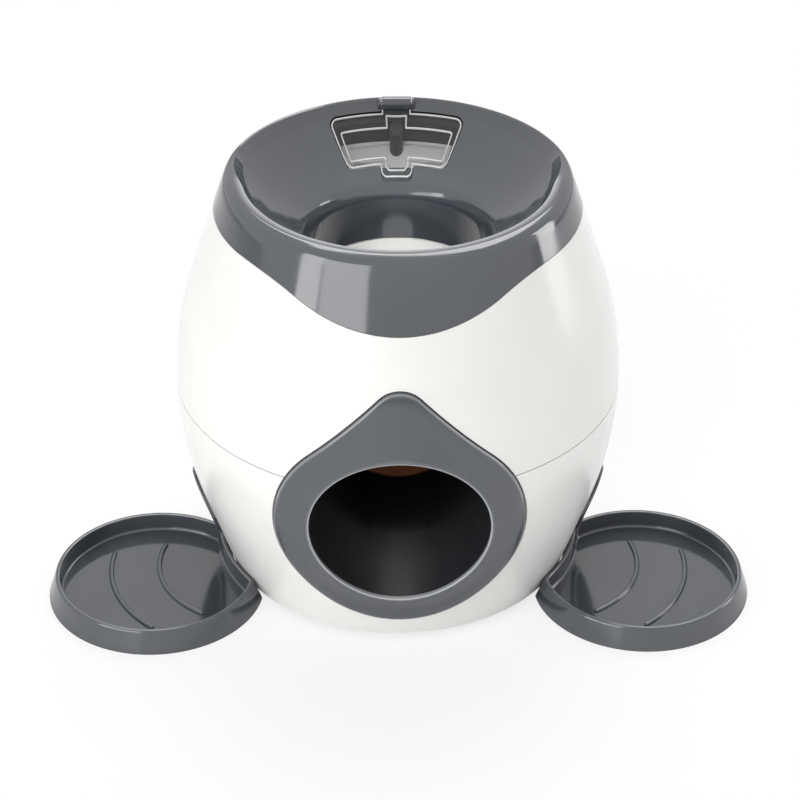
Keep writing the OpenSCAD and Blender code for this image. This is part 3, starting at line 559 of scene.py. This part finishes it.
# %% [markdown]
# A frame sits in each drop-shaped cut: a rounded border that stands a little proud of the shell, a
# face that is very slightly hollow and a rounded lip. It is one closed ring: a profile of distance in
# from the border and height over the shell is carried all the way round the drop, stretched between
# the border and the hole. Behind the lip a dark collar leads in to the tunnel or the treat chute: it has
# the tunnel's dark finish, which also stands in for the shade inside the hole.

# %% Frames of the openings
ROUND = np.linspace(0, 2 * np.pi, 240, endpoint=False)
ROUND_DIRECTION = np.stack([np.sin(ROUND), np.cos(ROUND)], axis=-1)
COLLAR_WALL = 1.15
# Where a frame's face starts after the rounded border, as a share of its width, and its rows
FACE_START, FACE_ROWS = 0.06, 14


def round_the_drop(form, reach, height):
    """Rings of points about a drop's centre at each reach, at each height over the barrel's side."""
    ring = on_barrel(np.asarray(form["centre"]) + reach[..., None] * ROUND_DIRECTION)
    ring[..., 1] -= height
    return ring


def frame_ring(form, turn):
    """A closed ring between the drop's outline and the round hole, turned to its place."""
    outer = drop_radius(ROUND, form["big"], form["small"], form["rise"])
    hole, proud, border, lip = form["hole"], form["proud"], form["border"], form["lip"]
    edge = rounded([(0, -form["border_back"]), (0, proud), (border * 2, proud)], border)
    across = np.linspace(FACE_START, 1, FACE_ROWS)[:-1]
    face = border * 2 + across[:, None] * (outer - hole - border * 2 - lip)
    face_height = proud - form["dish"] * np.sin(np.pi * across) ** 2
    bend = np.linspace(0, np.pi / 2, 6)
    lip_reach = hole + lip * (1 - np.sin(bend))
    lip_height = proud - lip * (1 - np.cos(bend))
    inside = np.array([hole, hole + COLLAR_WALL])
    reach = np.concatenate([outer - edge[:, :1], outer - face, lip_reach[:, None] + 0 * outer,
                            inside[:, None] + 0 * outer])
    height = np.concatenate([edge[:, 1], face_height, lip_height, np.full(2, -form["lip_back"])])
    ring = round_the_drop(form, reach, height[:, None])
    return patch(turned(ring, turn), (0, 0, form["centre"][1]), wrap_rows=True, wrap_cols=True)


def collar_ring(form, turn):
    """A closed tube from a frame's lip to its inner end: in along the hole, back along the outside."""
    reach = np.array([form["hole"], form["hole"] + COLLAR_WALL])[:, None] + 0 * ROUND
    front = round_the_drop(form, reach, -form["collar_start"])
    back = front.copy()
    back[..., 1] = form["collar_end"]
    ring = turned(np.concatenate([front[:1], back, front[1:]]), turn)
    core = turned(np.array([0.0, form["collar_end"], form["centre"][1]]), turn)
    return patch(ring, core, wrap_rows=True, wrap_cols=True)


def front_painted_highlight(points):
    """Share of the painted highlight on the front frame: its hole's lip and, more faintly, its border."""
    x, z = points[:, 0], points[:, 2] - FRONT["centre"][1]
    reach = np.hypot(x, z)
    outer = drop_radius(np.arctan2(x, z), FRONT["big"], FRONT["small"], FRONT["rise"])
    on_lip = near(reach - FRONT["hole"] - 0.25, 0.4)
    on_border = near(outer - reach - 0.35, 0.35)
    return 0.75 * on_lip + 0.3 * on_border


# The frame's lip and border carry a painted highlight
front_frame = put_mesh("front_frame", [frame_ring(FRONT, 0)], slate_gloss, "housing",
                       sharp=30, painted_edge_highlight=front_painted_highlight)
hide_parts("front_bezel")
# The collar's dark finish is the tunnel's, and also paints in the shade inside the hole
put_mesh("front_collar", [collar_ring(FRONT, 0)], dark_satin, "housing", sharp=30)
for name, turn in (("right", OUTLET_ANGLE), ("left", -OUTLET_ANGLE)):
    outlet_frame = put_mesh("outlet_frame_" + name, [frame_ring(SIDE, turn)],
                            slate_gloss, "housing", sharp=30)
    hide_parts("side_bezel_" + name)
    put_mesh("outlet_collar_" + name, [collar_ring(SIDE, turn)],
             dark_satin, "housing", sharp=30)

# %% [markdown]
# The funnel is one moulding: throat, hollow slope, rim and skirt. Turned on a lathe it would be the
# same all round, but the front of its rim carries a lip with a crisp inner edge that narrows to
# nothing at either side. So two profiles with the same number of corners are blended by the angle.

# %% Funnel profiles
RIM_FOOT, ROW_STEP, SKIRT_ROWS = 175.6, 1.6, 15
THROAT = [(36, 130), (36, 149.3), (38.7, 154.5), (46, 159.3)]
BACK_SLOPE, FRONT_SLOPE = [(56, 166.2), (65.7, 174.0)], [(53, 164.1), (58, 168.2)]
BACK_EDGE, LIP_EDGE = [(69.2, 178.5), (69.8, 178.83)], [(63.4, 180.5), (66.8, 180.45)]
RIM = [(70.4, 179.15), (barrel_radius(RIM_FOOT), RIM_FOOT)]
# How far from each inner corner its rounding starts
THROAT_CUTS = [1.9, 1.9, 3]
BACK_CUTS, FRONT_CUTS = [3, 0.6, 0.3, 0.12, 0.3], [2.2, 1.8, 0.4, 0.5, 2.1]
back_profile = rounded(THROAT + BACK_SLOPE + BACK_EDGE + RIM, THROAT_CUTS + BACK_CUTS)
front_profile = rounded(THROAT + FRONT_SLOPE + LIP_EDGE + RIM, THROAT_CUTS + FRONT_CUTS)
# Degrees from the front up to which the lip is whole, and over which it then goes
LIP_WHOLE, LIP_FADE = 78, 32


def fill_rows(profile, step):
    """The same profile with its long stretches divided; both profiles are divided alike."""
    gaps = np.linalg.norm(np.diff(back_profile, axis=0), axis=1)
    count = np.maximum(1, np.ceil(gaps / step)).astype(int)
    start = np.repeat(np.arange(len(gaps)), count)
    share = (np.arange(count.sum()) - np.repeat(np.cumsum(count) - count, count)) / np.repeat(count, count)
    inner = profile[start] + share[:, None] * (profile[start + 1] - profile[start])
    return np.concatenate([inner, profile[-1:]])


back_rows = fill_rows(back_profile, ROW_STEP)
front_rows = fill_rows(front_profile, ROW_STEP)


def lip_share(a):
    """How much of the front lip there is at an angle from the front, in degrees."""
    return 1 - smooth((np.abs(a) - LIP_WHOLE) / LIP_FADE)


def funnel_grid(a):
    """Points of the funnel, rows by angles: the blended profile, then the skirt down to its edge.

    The skirt's edge is level behind. In front its height depends on x, and x on the radius at that
    height, so the two are worked out in turn until they agree.
    """
    share = lip_share(a)[None, :, None]
    bowl = back_rows[:, None] + share * (front_rows - back_rows)[:, None]
    turn = np.radians(a)
    edge = np.full(len(a), SKIRT_SIDE)
    for _ in range(8):
        edge = skirt_edge(np.where(np.abs(a) > 90, DIP_W, barrel_radius(edge) * np.sin(turn)))
    t = np.linspace(0, 1, SKIRT_ROWS)[1:, None]
    z = RIM_FOOT + t * (edge - RIM_FOOT)
    skirt = np.stack([barrel_radius(z), z], axis=-1)
    both = np.concatenate([bowl, skirt])
    return np.stack([both[..., 0] * np.sin(turn), -both[..., 0] * np.cos(turn), both[..., 1]], axis=-1)


def lip_painted_highlight(points):
    """Share of the painted highlight along the lip's inner corner: it is gone where a third of the lip is.
    """
    share = lip_share(np.degrees(np.arctan2(points[:, 0], -points[:, 1])))
    back_corner, lip_corner = np.array(BACK_EDGE[0]), np.array(LIP_EDGE[0])
    corner = back_corner + share[:, None] * (lip_corner - back_corner)
    r = np.hypot(points[:, 0], points[:, 1])
    from_corner = np.hypot(r - corner[:, 0] - 0.2, points[:, 2] - corner[:, 1])
    return 0.7 * smooth(3 * share - 2) * near(from_corner, 0.55)


print("rows of the funnel's profile:", len(back_rows))

# %% [markdown]
# At the back of the slope the lid has its opening, with a notch for its finger tab and one for its
# hinge. The lid's outline is taken about its middle, in length along the arc and in radius: the
# furthest of a rounded box, the tab's box and the hinge tongue's. The opening is the same outline
# grown by a small gap, and a sheet is laid out between it and the rest of the funnel.

# %% The lid's outline and its opening
LID_MID_R, LID_HALF_V, LID_HALF_ANGLE = 55.85, 9.85, 26.0
LID_HALF_U = math.radians(LID_HALF_ANGLE) * LID_MID_R
LID_CORNER, LEAST_CORNER = 3.2, 0.8
TAB_HALF, TAB_END, TAB_CORNER = 8.3, 14.9, 2.4
TONGUE_HALF, TONGUE_CORNER = 5.1, 1.0
# Gap round the lid, and the opening's reach at the tab, which leaves room for a finger
LID_GAP, TAB_ROOM = 0.4, 16.8
# Far outside every outline, and a point that the slope round the lid faces away from
BEYOND = 40.0
UNDER_LID = (0, LID_MID_R, 0)


def box_reach(phi, half_w, half_h, corner):
    """Outline of a box with round corners about its middle, in the direction phi from up."""
    dx, dy = np.abs(np.sin(phi)), np.abs(np.cos(phi))
    flat = np.minimum(half_w / np.maximum(dx, 1e-9), half_h / np.maximum(dy, 1e-9))
    cx, cy = half_w - corner, half_h - corner
    along_ray = cx * dx + cy * dy
    inside = along_ray ** 2 - (cx * cx + cy * cy - corner * corner)
    arc = along_ray + np.sqrt(np.clip(inside, 0, None))
    in_corner = (flat * dx > cx) & (flat * dy > cy)
    return np.where(in_corner, arc, flat)


def lid_reach(phi, grow, tab_end=TAB_END):
    """Outline of the lid in angle and radius: the sector, its finger tab and its hinge tongue.

    Moved in, the outline keeps twice as far from the back edge and half as far from the tongue's.
    """
    back = np.cos(phi) > 0
    half_v = LID_HALF_V + grow * np.where(back & (grow < 0), 2.0, 1.0)
    sector = box_reach(phi, LID_HALF_U + grow, half_v, max(LID_CORNER + grow, LEAST_CORNER))
    tab = box_reach(phi, TAB_HALF + grow, tab_end + grow, TAB_CORNER) * ~back
    tongue = box_reach(phi, TONGUE_HALF + grow / 2, BEYOND, TONGUE_CORNER) * back
    return np.maximum(sector, np.maximum(tab, tongue))


# Half the angle of the sheet round the lid and of the hinge's notch, and the sheet's radii
LID_SPAN, NOTCH_HALF = 32.0, 5.65
SHEET_LOW_R, SHEET_HIGH_R = 36.6, 67.4
low_row = int(np.argmin(np.abs(back_rows[:, 0] - SHEET_LOW_R)))
high_row = int(np.argmin(np.abs(back_rows[:, 0] - SHEET_HIGH_R)))
open_side = np.linspace(-(180 - LID_SPAN), 180 - LID_SPAN, 360)
lid_side = 180 + np.concatenate([np.linspace(-LID_SPAN, -NOTCH_HALF, 27)[:-1],
                                 np.linspace(-NOTCH_HALF, NOTCH_HALF, 13)[:-1],
                                 np.linspace(NOTCH_HALF, LID_SPAN, 27)])


def slope_height(r):
    """Height of the back slope at radius r."""
    return np.interp(r, back_rows[low_row:high_row + 1, 0], back_rows[low_row:high_row + 1, 1])


def on_slope(flat, lift=0.0):
    """Flat points, length along the middle arc and radius, on the back slope moved up by lift."""
    a = np.pi + flat[..., 0] / LID_MID_R
    r = flat[..., 1]
    return np.stack([r * np.sin(a), -r * np.cos(a), slope_height(r) + lift], axis=-1)


def lid_surround():
    """Sheet of the slope between the lid's opening and the rest of the funnel."""
    u = np.radians(lid_side - 180) * LID_MID_R
    v = back_rows[low_row:high_row + 1, 0]
    border = np.concatenate([
        np.stack([u, np.full(len(u), v[0])], axis=1)[:-1],
        np.stack([np.full(len(v), u[-1]), v], axis=1)[:-1],
        np.stack([u, np.full(len(u), v[-1])], axis=1)[::-1][:-1],
        np.stack([np.full(len(v), u[0]), v], axis=1)[::-1][:-1],
    ])
    flat = ring_between((0, LID_MID_R), lambda phi: lid_reach(phi, LID_GAP, TAB_ROOM), border, 12)
    return patch(on_slope(flat), UNDER_LID, wrap_cols=True)


print("rows of the slope beside the lid:", high_row - low_row + 1)

# %% [markdown]
# The funnel is put together from five sheets: the open side, the throat below the lid, the slope round
# the lid, the rim above it without the hinge's notch, and a small recess under the finger tab.

# %% Funnel
FUNNEL_WALL, NOTCH_FOOT = 2.0, 174.5
RECESS_HALF, RECESS_IN, RECESS_OUT, RECESS_DEPTH = 9.4, 38.8, 46.5, 1.9
BEHIND = (0, 200, 140)
lid_part = funnel_grid(np.where(lid_side > 180, lid_side - 360, lid_side))
rim_part = lid_part[high_row:]
notch = np.abs((lid_side[:-1] + lid_side[1:]) / 2 - 180) < NOTCH_HALF
shown = ~((rim_part[:-1, :-1, 2] > NOTCH_FOOT) & notch[None, :])
recess_u, recess_v = np.meshgrid(np.linspace(-RECESS_HALF, RECESS_HALF, 8),
                                 np.linspace(RECESS_IN, RECESS_OUT, 8))
recess = on_slope(np.stack([recess_u, recess_v], axis=-1), -RECESS_DEPTH)
funnel_patches = [patch(funnel_grid(open_side), (0, 0, 0)), patch(lid_part[:low_row + 1], BEHIND),
                  lid_surround(), patch(rim_part, UNDER_LID, keep=shown), patch(recess, UNDER_LID)]
# The lip's inner corner carries a painted highlight
funnel = put_mesh("funnel", funnel_patches, slate_gloss, "housing",
                  sharp=30, painted_edge_highlight=lip_painted_highlight)
give_wall(funnel, FUNNEL_WALL)
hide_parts("funnel_bowl")

# %% [markdown]
# Two ears on the rim hold the hinge pin, one on either side of the notch. Each is a short round bar
# with a rounded end: a profile of distance along and radius, carried round the pin's axis. The pin
# is such a bar too, and ends inside the ears.

# %% Hinge ears and pin
HINGE_Y, HINGE_Z = 67.6, 177.4
EAR_IN, EAR_OUT, EAR_R, EAR_EDGE = 6.5, 7.6, 2.6, 0.3
PIN_END, PIN_R, PIN_EDGE = 7.2, 1.0, 0.2


def round_bar(x0, x1, radius, edge, cols=40):
    """A closed bar along X round the hinge's axis, with rounded ends: a profile carried round."""
    profile = rounded([(x0, 0), (x0, radius), (x1, radius), (x1, 0)], edge, 5)
    a = np.linspace(0, 2 * np.pi, cols, endpoint=False)
    x = profile[:, :1] + 0 * a
    ring = profile[:, 1:] * np.stack([np.cos(a), np.sin(a)])[:, None]
    bar = np.stack([x, HINGE_Y + ring[0], HINGE_Z + ring[1]], axis=-1)
    return patch(bar, ((x0 + x1) / 2, HINGE_Y, HINGE_Z), wrap_cols=True)


ears = [round_bar(s * EAR_IN, s * EAR_OUT, EAR_R, EAR_EDGE) for s in (1, -1)]
put_mesh("hinge_ears", ears, slate_gloss, "housing", sharp=40)
pin_bar = round_bar(-PIN_END, PIN_END, PIN_R, PIN_EDGE)
pin = put_mesh("hinge_pin", [pin_bar], bright_steel, "housing", sharp=40)
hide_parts("lid_hinge_pin")

# %% [markdown]
# The lid is clear and a little smoky. Light shows it by its edges, so it needs real thickness: a flat
# frame round the outside, a step down to the pane and, underneath, a low ring that drops into the
# hopper's mouth. One outline is carried through a list of insets and heights, from the middle of the
# underside round the edge to the middle of the top. Clear edges gather light, so a fine pale bead
# runs along the outer edge and the step as a painted highlight. A round knuckle joins the lid to the hinge
# pin.

# %% Clear lid
# Inset and height of each step of the lid, from the underside round the edge to the pane
lid_levels = np.array([
    (5.1, -1.9), (4.9, -2.2), (4.8, -3.4), (3.8, -3.4), (3.7, -2.2), (3.5, -1.9), (0.5, -1.9), (0.15, -1.7),
    (0.0, -1.4), (0.0, -0.1), (0.1, 0.15), (0.35, 0.3), (2.4, 0.3), (2.65, 0.2), (2.8, 0.0), (2.9, -0.25),
    (3.1, -0.4), (3.4, -0.4),
])
PANE_ROWS, TONGUE_END = 6, 11.2
# Inset, height and radius of the beads that paint a highlight along the outer edge and the step
BEADS = [(0.3, 0.1, 0.3), (2.8, 0.0, 0.32)]
KNUCKLE_END, KNUCKLE_R, KNUCKLE_EDGE = 6.3, 2.85, 0.5


def lid_outline(inset):
    """The lid's outline moved in by inset, as flat points, with the tongue cut off short of the hinge."""
    phi = np.linspace(0, 2 * np.pi, 480, endpoint=False)
    tongue_end = np.where(np.cos(phi) > 0, TONGUE_END / np.maximum(np.cos(phi), 1e-6), np.inf)
    reach = np.minimum(lid_reach(phi, -inset), tongue_end - inset)
    return np.stack([reach * np.sin(phi), LID_MID_R + reach * np.cos(phi)], axis=-1)


LID_HEART = (0, LID_MID_R, slope_height(LID_MID_R) - 1)


def clear_plate():
    """The lid's outline at each inset and height, closed to the middle above and below."""
    flat = np.stack([lid_outline(inset) for inset in lid_levels[:, 0]])
    centre = np.array([0, LID_MID_R])
    middle = np.linspace(0, 1, PANE_ROWS + 1)[:-1, None, None]
    flat = np.concatenate([centre + middle * (flat[:1] - centre), flat,
                           centre + middle[::-1] * (flat[-1:] - centre)])
    lift = np.pad(lid_levels[:, 1], PANE_ROWS, mode="edge")
    return patch(on_slope(flat, lift[:, None]), LID_HEART, wrap_cols=True)


def edge_bead(inset, lift, size):
    """A thin bead along the lid's outline moved in by inset: a small circle carried round it."""
    path = lid_outline(inset)
    ahead = np.roll(path, -1, axis=0) - np.roll(path, 1, axis=0)
    across = np.stack([ahead[:, 1], -ahead[:, 0]], axis=1) / np.linalg.norm(ahead, axis=1)[:, None]
    s = np.linspace(0, 2 * np.pi, 8, endpoint=False)[:, None]
    flat = path + size * np.cos(s)[..., None] * across
    return patch(on_slope(flat, lift + size * np.sin(s)), LID_HEART, wrap_rows=True, wrap_cols=True)


lid = put_mesh("clear_lid_plate", [clear_plate()], smoky_clear, "lid", sharp=30)
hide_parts("clear_lid")
# Pale beads on the lid's edges: a painted highlight for the light that clear edges gather
put_mesh("lid_edges", [edge_bead(*bead) for bead in BEADS], painted_glint_edge, "lid", sharp=60)
knuckle_bar = round_bar(-KNUCKLE_END, KNUCKLE_END, KNUCKLE_R, KNUCKLE_EDGE)
put_mesh("lid_knuckle", [knuckle_bar], slate_gloss, "lid", sharp=40)

# %% [markdown]
# A tray is round, with a bite out of it that follows the barrel. Its outline is taken about its own
# middle: in each direction the nearer of the round side and the bite, with the corner between them
# rounded. The same two radii, moved in and up step by step, give the foot, the sloped wall, the round
# rim, the inside and the floor.

# %% The tray's outline and profile
TRAY_ANGLE, TRAY_REACH, TRAY_FOOT_R, TRAY_RIM_R, TRAY_H = 69.8, 110.0, 45.8, 42.5, 10.0
TRAY_GAP, TRAY_FLOOR, FLOOR_ROWS, RIM_INSET = 0.6, 2.0, 8, 1.5
# Inset from the round side, inset from the bite, height
tray_profile = rounded([
    (3.0, 3.0, 0.6), (1.3, 1.3, 0.6), (0.9, 0.9, 0.0), (0.0, 0.0, 0.0), (0.0, 0.0, TRAY_H),
    (1.6, 1.6, TRAY_H), (4.2, 4.0, TRAY_FLOOR), (10.0, 9.8, TRAY_FLOOR),
], [0.2, 0.15, 0.35, 0.7, 0.6, 1.6], 5)


def tray_reach(theta, side_inset, bite_inset, z):
    """Reach of the tray's outline from its middle: the nearer of round side and bite, corners rounded.

    The corner is rounded where the two differ by less than its size, which grows towards the floor.
    """
    side = TRAY_FOOT_R + (TRAY_RIM_R - TRAY_FOOT_R) * z / TRAY_H - side_inset
    bite = barrel_radius(z) + TRAY_GAP + bite_inset
    along_ray = TRAY_REACH * np.cos(theta)
    inside = along_ray ** 2 - (TRAY_REACH ** 2 - bite ** 2)
    hit = np.where((inside > 0) & (along_ray > 0), along_ray - np.sqrt(np.clip(inside, 0, None)), np.inf)
    corner = 1.0 + 0.5 * side_inset
    overlap = np.clip(corner - np.abs(side - hit), 0, None)
    return np.minimum(side, hit) - overlap ** 2 / (4 * corner)


print("a tray's rim reaches", float(tray_reach(np.pi, 0.0, 0.0, TRAY_H)), "mm from its middle")

# %% [markdown]
# The profile carried round the outline makes the tray, closed to the middle above and below. The two
# curved ribs on its floor are half-round bars along an arc, with round ends. The rim's inner edge is
# one of the edges that catch the light, and it gets a painted highlight. Left and right trays are the same
# shape, turned to their places.

# %% Trays
RIB_HALF_W, RIB_H, RIB_SINK = 1.1, 1.2, 0.05
# Distance of a rib's centre from the machine's axis, the rib's radius and half of its span
RIBS = [(64.0, 43.0, 27.0), (69.5, 58.3, 29.0)]
FAR_BELOW = (0, 0, -900)


def tray_shell(turn):
    """A tray from the middle of its underside round the rim to the middle of its floor."""
    theta = np.linspace(0, 2 * np.pi, 400, endpoint=False)
    reach = np.stack([tray_reach(theta, *row) for row in tray_profile])
    middle = np.linspace(0, 1, FLOOR_ROWS + 1)[:-1, None]
    reach = np.concatenate([middle * reach[:1], reach, middle[::-1] * reach[-1:]])
    z = np.pad(tray_profile[:, 2], FLOOR_ROWS, mode="edge")
    x = reach * np.sin(theta)
    y = -TRAY_REACH + reach * np.cos(theta)
    middle_of_wall = turned(np.array([0.0, -TRAY_REACH, 1.0]), turn)
    return patch(turned(np.stack([x, y, z[:, None] + 0 * x], axis=-1), turn), middle_of_wall, wrap_cols=True)


def tray_rib(turn, centre, ring_r, half_span):
    """A low rib along a circle's arc: a half-round section that shrinks to nothing at its round ends."""
    end = math.asin(half_span / ring_r)
    a = end * np.sin(np.linspace(-np.pi / 2, np.pi / 2, 60))
    from_end = ring_r * (end - np.abs(a)) / RIB_HALF_W
    size = np.sqrt(1 - np.clip(1 - from_end, 0, 1) ** 2)
    section = np.linspace(0, np.pi, 11)[:, None]
    r = ring_r + RIB_HALF_W * size * np.cos(section)
    z = TRAY_FLOOR - RIB_SINK + RIB_H * size * np.sin(section)
    bar = np.stack([r * np.sin(a), -centre - r * np.cos(a), z], axis=-1)
    return patch(turned(bar, turn), FAR_BELOW)


def tray_painted_highlight(turn):
    """Share of the painted highlight round the inside of a tray's rim."""
    def share(points):
        flat = turned(points, -turn)
        x, y = flat[:, 0], flat[:, 1] + TRAY_REACH
        rim = tray_reach(np.arctan2(x, y), RIM_INSET, RIM_INSET, np.float64(TRAY_H))
        return 0.3 * near(np.hypot(np.hypot(x, y) - rim, flat[:, 2] - TRAY_H), 0.4)
    return share


for side, turn in (("right", TRAY_ANGLE), ("left", -TRAY_ANGLE)):
    ribs = [tray_rib(turn, *rib) for rib in RIBS]
    # The rim's inner edge carries a painted highlight
    tray = put_mesh("tray_dish_" + side, [tray_shell(turn)] + ribs, slate_gloss, "tray_" + side + "_body",
                    sharp=40, painted_edge_highlight=tray_painted_highlight(turn))
    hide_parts("tray_" + side)

# %% [markdown]
# The photograph has a long lens that looks down a third of the way from level to overhead. The camera
# stands where a fit to the barrel, the rim and the trays puts it, and a small sideways shift keeps
# the framing.

# %% Camera
view = bpy.data.cameras.new("view")
view.lens = 124.6
view.sensor_width = 36.0
view.shift_x = 0.00275
camera = bpy.data.objects.new("view", view)
bpy.context.scene.collection.objects.link(camera)
camera.location = (-0.0099, -0.9895, 0.7102)
camera.rotation_euler = Vector((0.0084, 0.8399, -0.5427)).to_track_quat("-Z", "Y").to_euler()
bpy.context.scene.camera = camera
print("camera at", tuple(round(c, 3) for c in camera.location))

# %% [markdown]
# The set is a pale floor in a white room. Rays from the camera, and those that mirrors and clear
# plastic send on, see plain white. The light that the room gives the object is dimmer, so Light Path
# tells the two apart.

# %% Room
ROOM_LIGHT, ROOM_SEEN = 0.42, 1.0


def maths(tree, operation, first, second):
    """A Math node on two values, each a socket or a plain number."""
    node = tree.nodes.new("ShaderNodeMath")
    node.operation = operation
    feed(tree, node.inputs[0], first)
    feed(tree, node.inputs[1], second)
    return node.outputs["Value"]


room = bpy.data.worlds.new("room")
room.use_nodes = True
bpy.context.scene.world = room
tree = room.node_tree
ray = tree.nodes.new("ShaderNodeLightPath").outputs
seen = maths(tree, "MAXIMUM", ray["Is Camera Ray"], ray["Is Glossy Ray"])
seen = maths(tree, "MAXIMUM", seen, ray["Is Transmission Ray"])
level = tree.nodes.new("ShaderNodeMapRange")
level.inputs["To Min"].default_value = ROOM_LIGHT
level.inputs["To Max"].default_value = ROOM_SEEN
tree.links.new(seen, level.inputs["Value"])
glow = tree.nodes["Background"]
glow.inputs["Color"].default_value = (1, 1, 1, 1)
tree.links.new(level.outputs["Result"], glow.inputs["Strength"])
print("the room gives", ROOM_LIGHT, "and is seen as", ROOM_SEEN)

# %% [markdown]
# The floor is a matt pale sheet that takes the object's shadow. For the camera it is three quarters
# plain white, so it looks like a white page and still keeps a soft shadow.

# %% Floor
FLOOR_HALF, FLOOR_WHITE = 3, 0.75
floor_finish = bpy.data.materials.new("pale_floor")
floor_finish.use_nodes = True
tree = floor_finish.node_tree
skin = tree.nodes["Principled BSDF"]
skin.inputs["Base Color"].default_value = (0.92, 0.92, 0.92, 1)
skin.inputs["Roughness"].default_value = 0.9
skin.inputs["Specular IOR Level"].default_value = 0.1
white = tree.nodes.new("ShaderNodeEmission")
white.inputs["Strength"].default_value = 1.0
ray = tree.nodes.new("ShaderNodeLightPath").outputs
blend = tree.nodes.new("ShaderNodeMixShader")
tree.links.new(maths(tree, "MULTIPLY", ray["Is Camera Ray"], FLOOR_WHITE), blend.inputs["Fac"])
tree.links.new(skin.outputs["BSDF"], blend.inputs[1])
tree.links.new(white.outputs["Emission"], blend.inputs[2])
tree.links.new(blend.outputs["Shader"], tree.nodes["Material Output"].inputs["Surface"])
corners = FLOOR_HALF * np.array([[-1, -1, 0], [1, -1, 0], [1, 1, 0], [-1, 1, 0]], float)
ground = bpy.data.meshes.new("floor")
ground.from_pydata(corners.tolist(), [], [[0, 1, 2, 3]])
ground.materials.append(floor_finish)
floor = bpy.data.objects.new("floor", ground)
bpy.context.scene.collection.objects.link(floor)
print("floor of", 2 * FLOOR_HALF, "metres")

# %% [markdown]
# A large soft box hangs overhead, behind the object. Two tall ones stand on the left, side by side, and
# one on the right: they draw the bright bands on the glossy skirt. A fill from the front, over the
# camera, reaches into the funnel, and a narrow beam lights the white tube in its throat. Neither of
# these two is seen in reflections.

# %% Lamps
def soft_box(name, place, aim, width, height, power):
    """A rectangular lamp at a place, turned to a point, in metres and watts."""
    lamp = bpy.data.lights.new(name, "AREA")
    lamp.shape = "RECTANGLE"
    lamp.size = width
    lamp.size_y = height
    lamp.energy = power
    light = bpy.data.objects.new(name, lamp)
    bpy.context.scene.collection.objects.link(light)
    light.location = place
    light.rotation_euler = (Vector(aim) - Vector(place)).to_track_quat("-Z", "Y").to_euler()
    return light


soft_box("overhead_box", (0.1, 0.75, 1.25), (0, 0, 0.1), 1.0, 0.8, 11)
fill = soft_box("front_box", (-0.35, -1.0, 1.2), (0, -0.1, 0.1), 0.7, 0.6, 7.0)
throat_beam = soft_box("throat_beam", (-0.1, -1.0, 1.2), (0, 0.02, 0.14), 0.06, 0.06, 0.009)
throat_beam.data.spread = math.radians(2.5)
for lamp in (fill, throat_beam):
    lamp.visible_glossy = False
soft_box("left_box", (-1.1, -0.85, 0.35), (0, 0, 0.1), 0.34, 0.9, 3.6)
soft_box("left_front_box", (-0.72, -1.2, 0.35), (0, 0, 0.1), 0.68, 0.8, 4.6)
soft_box("right_box", (1.2, 0.2, 0.3), (0, 0, 0.1), 0.36, 0.7, 3.5)
bpy.context.scene.view_settings.view_transform = "Standard"
print("lamps:", len(bpy.data.lights))
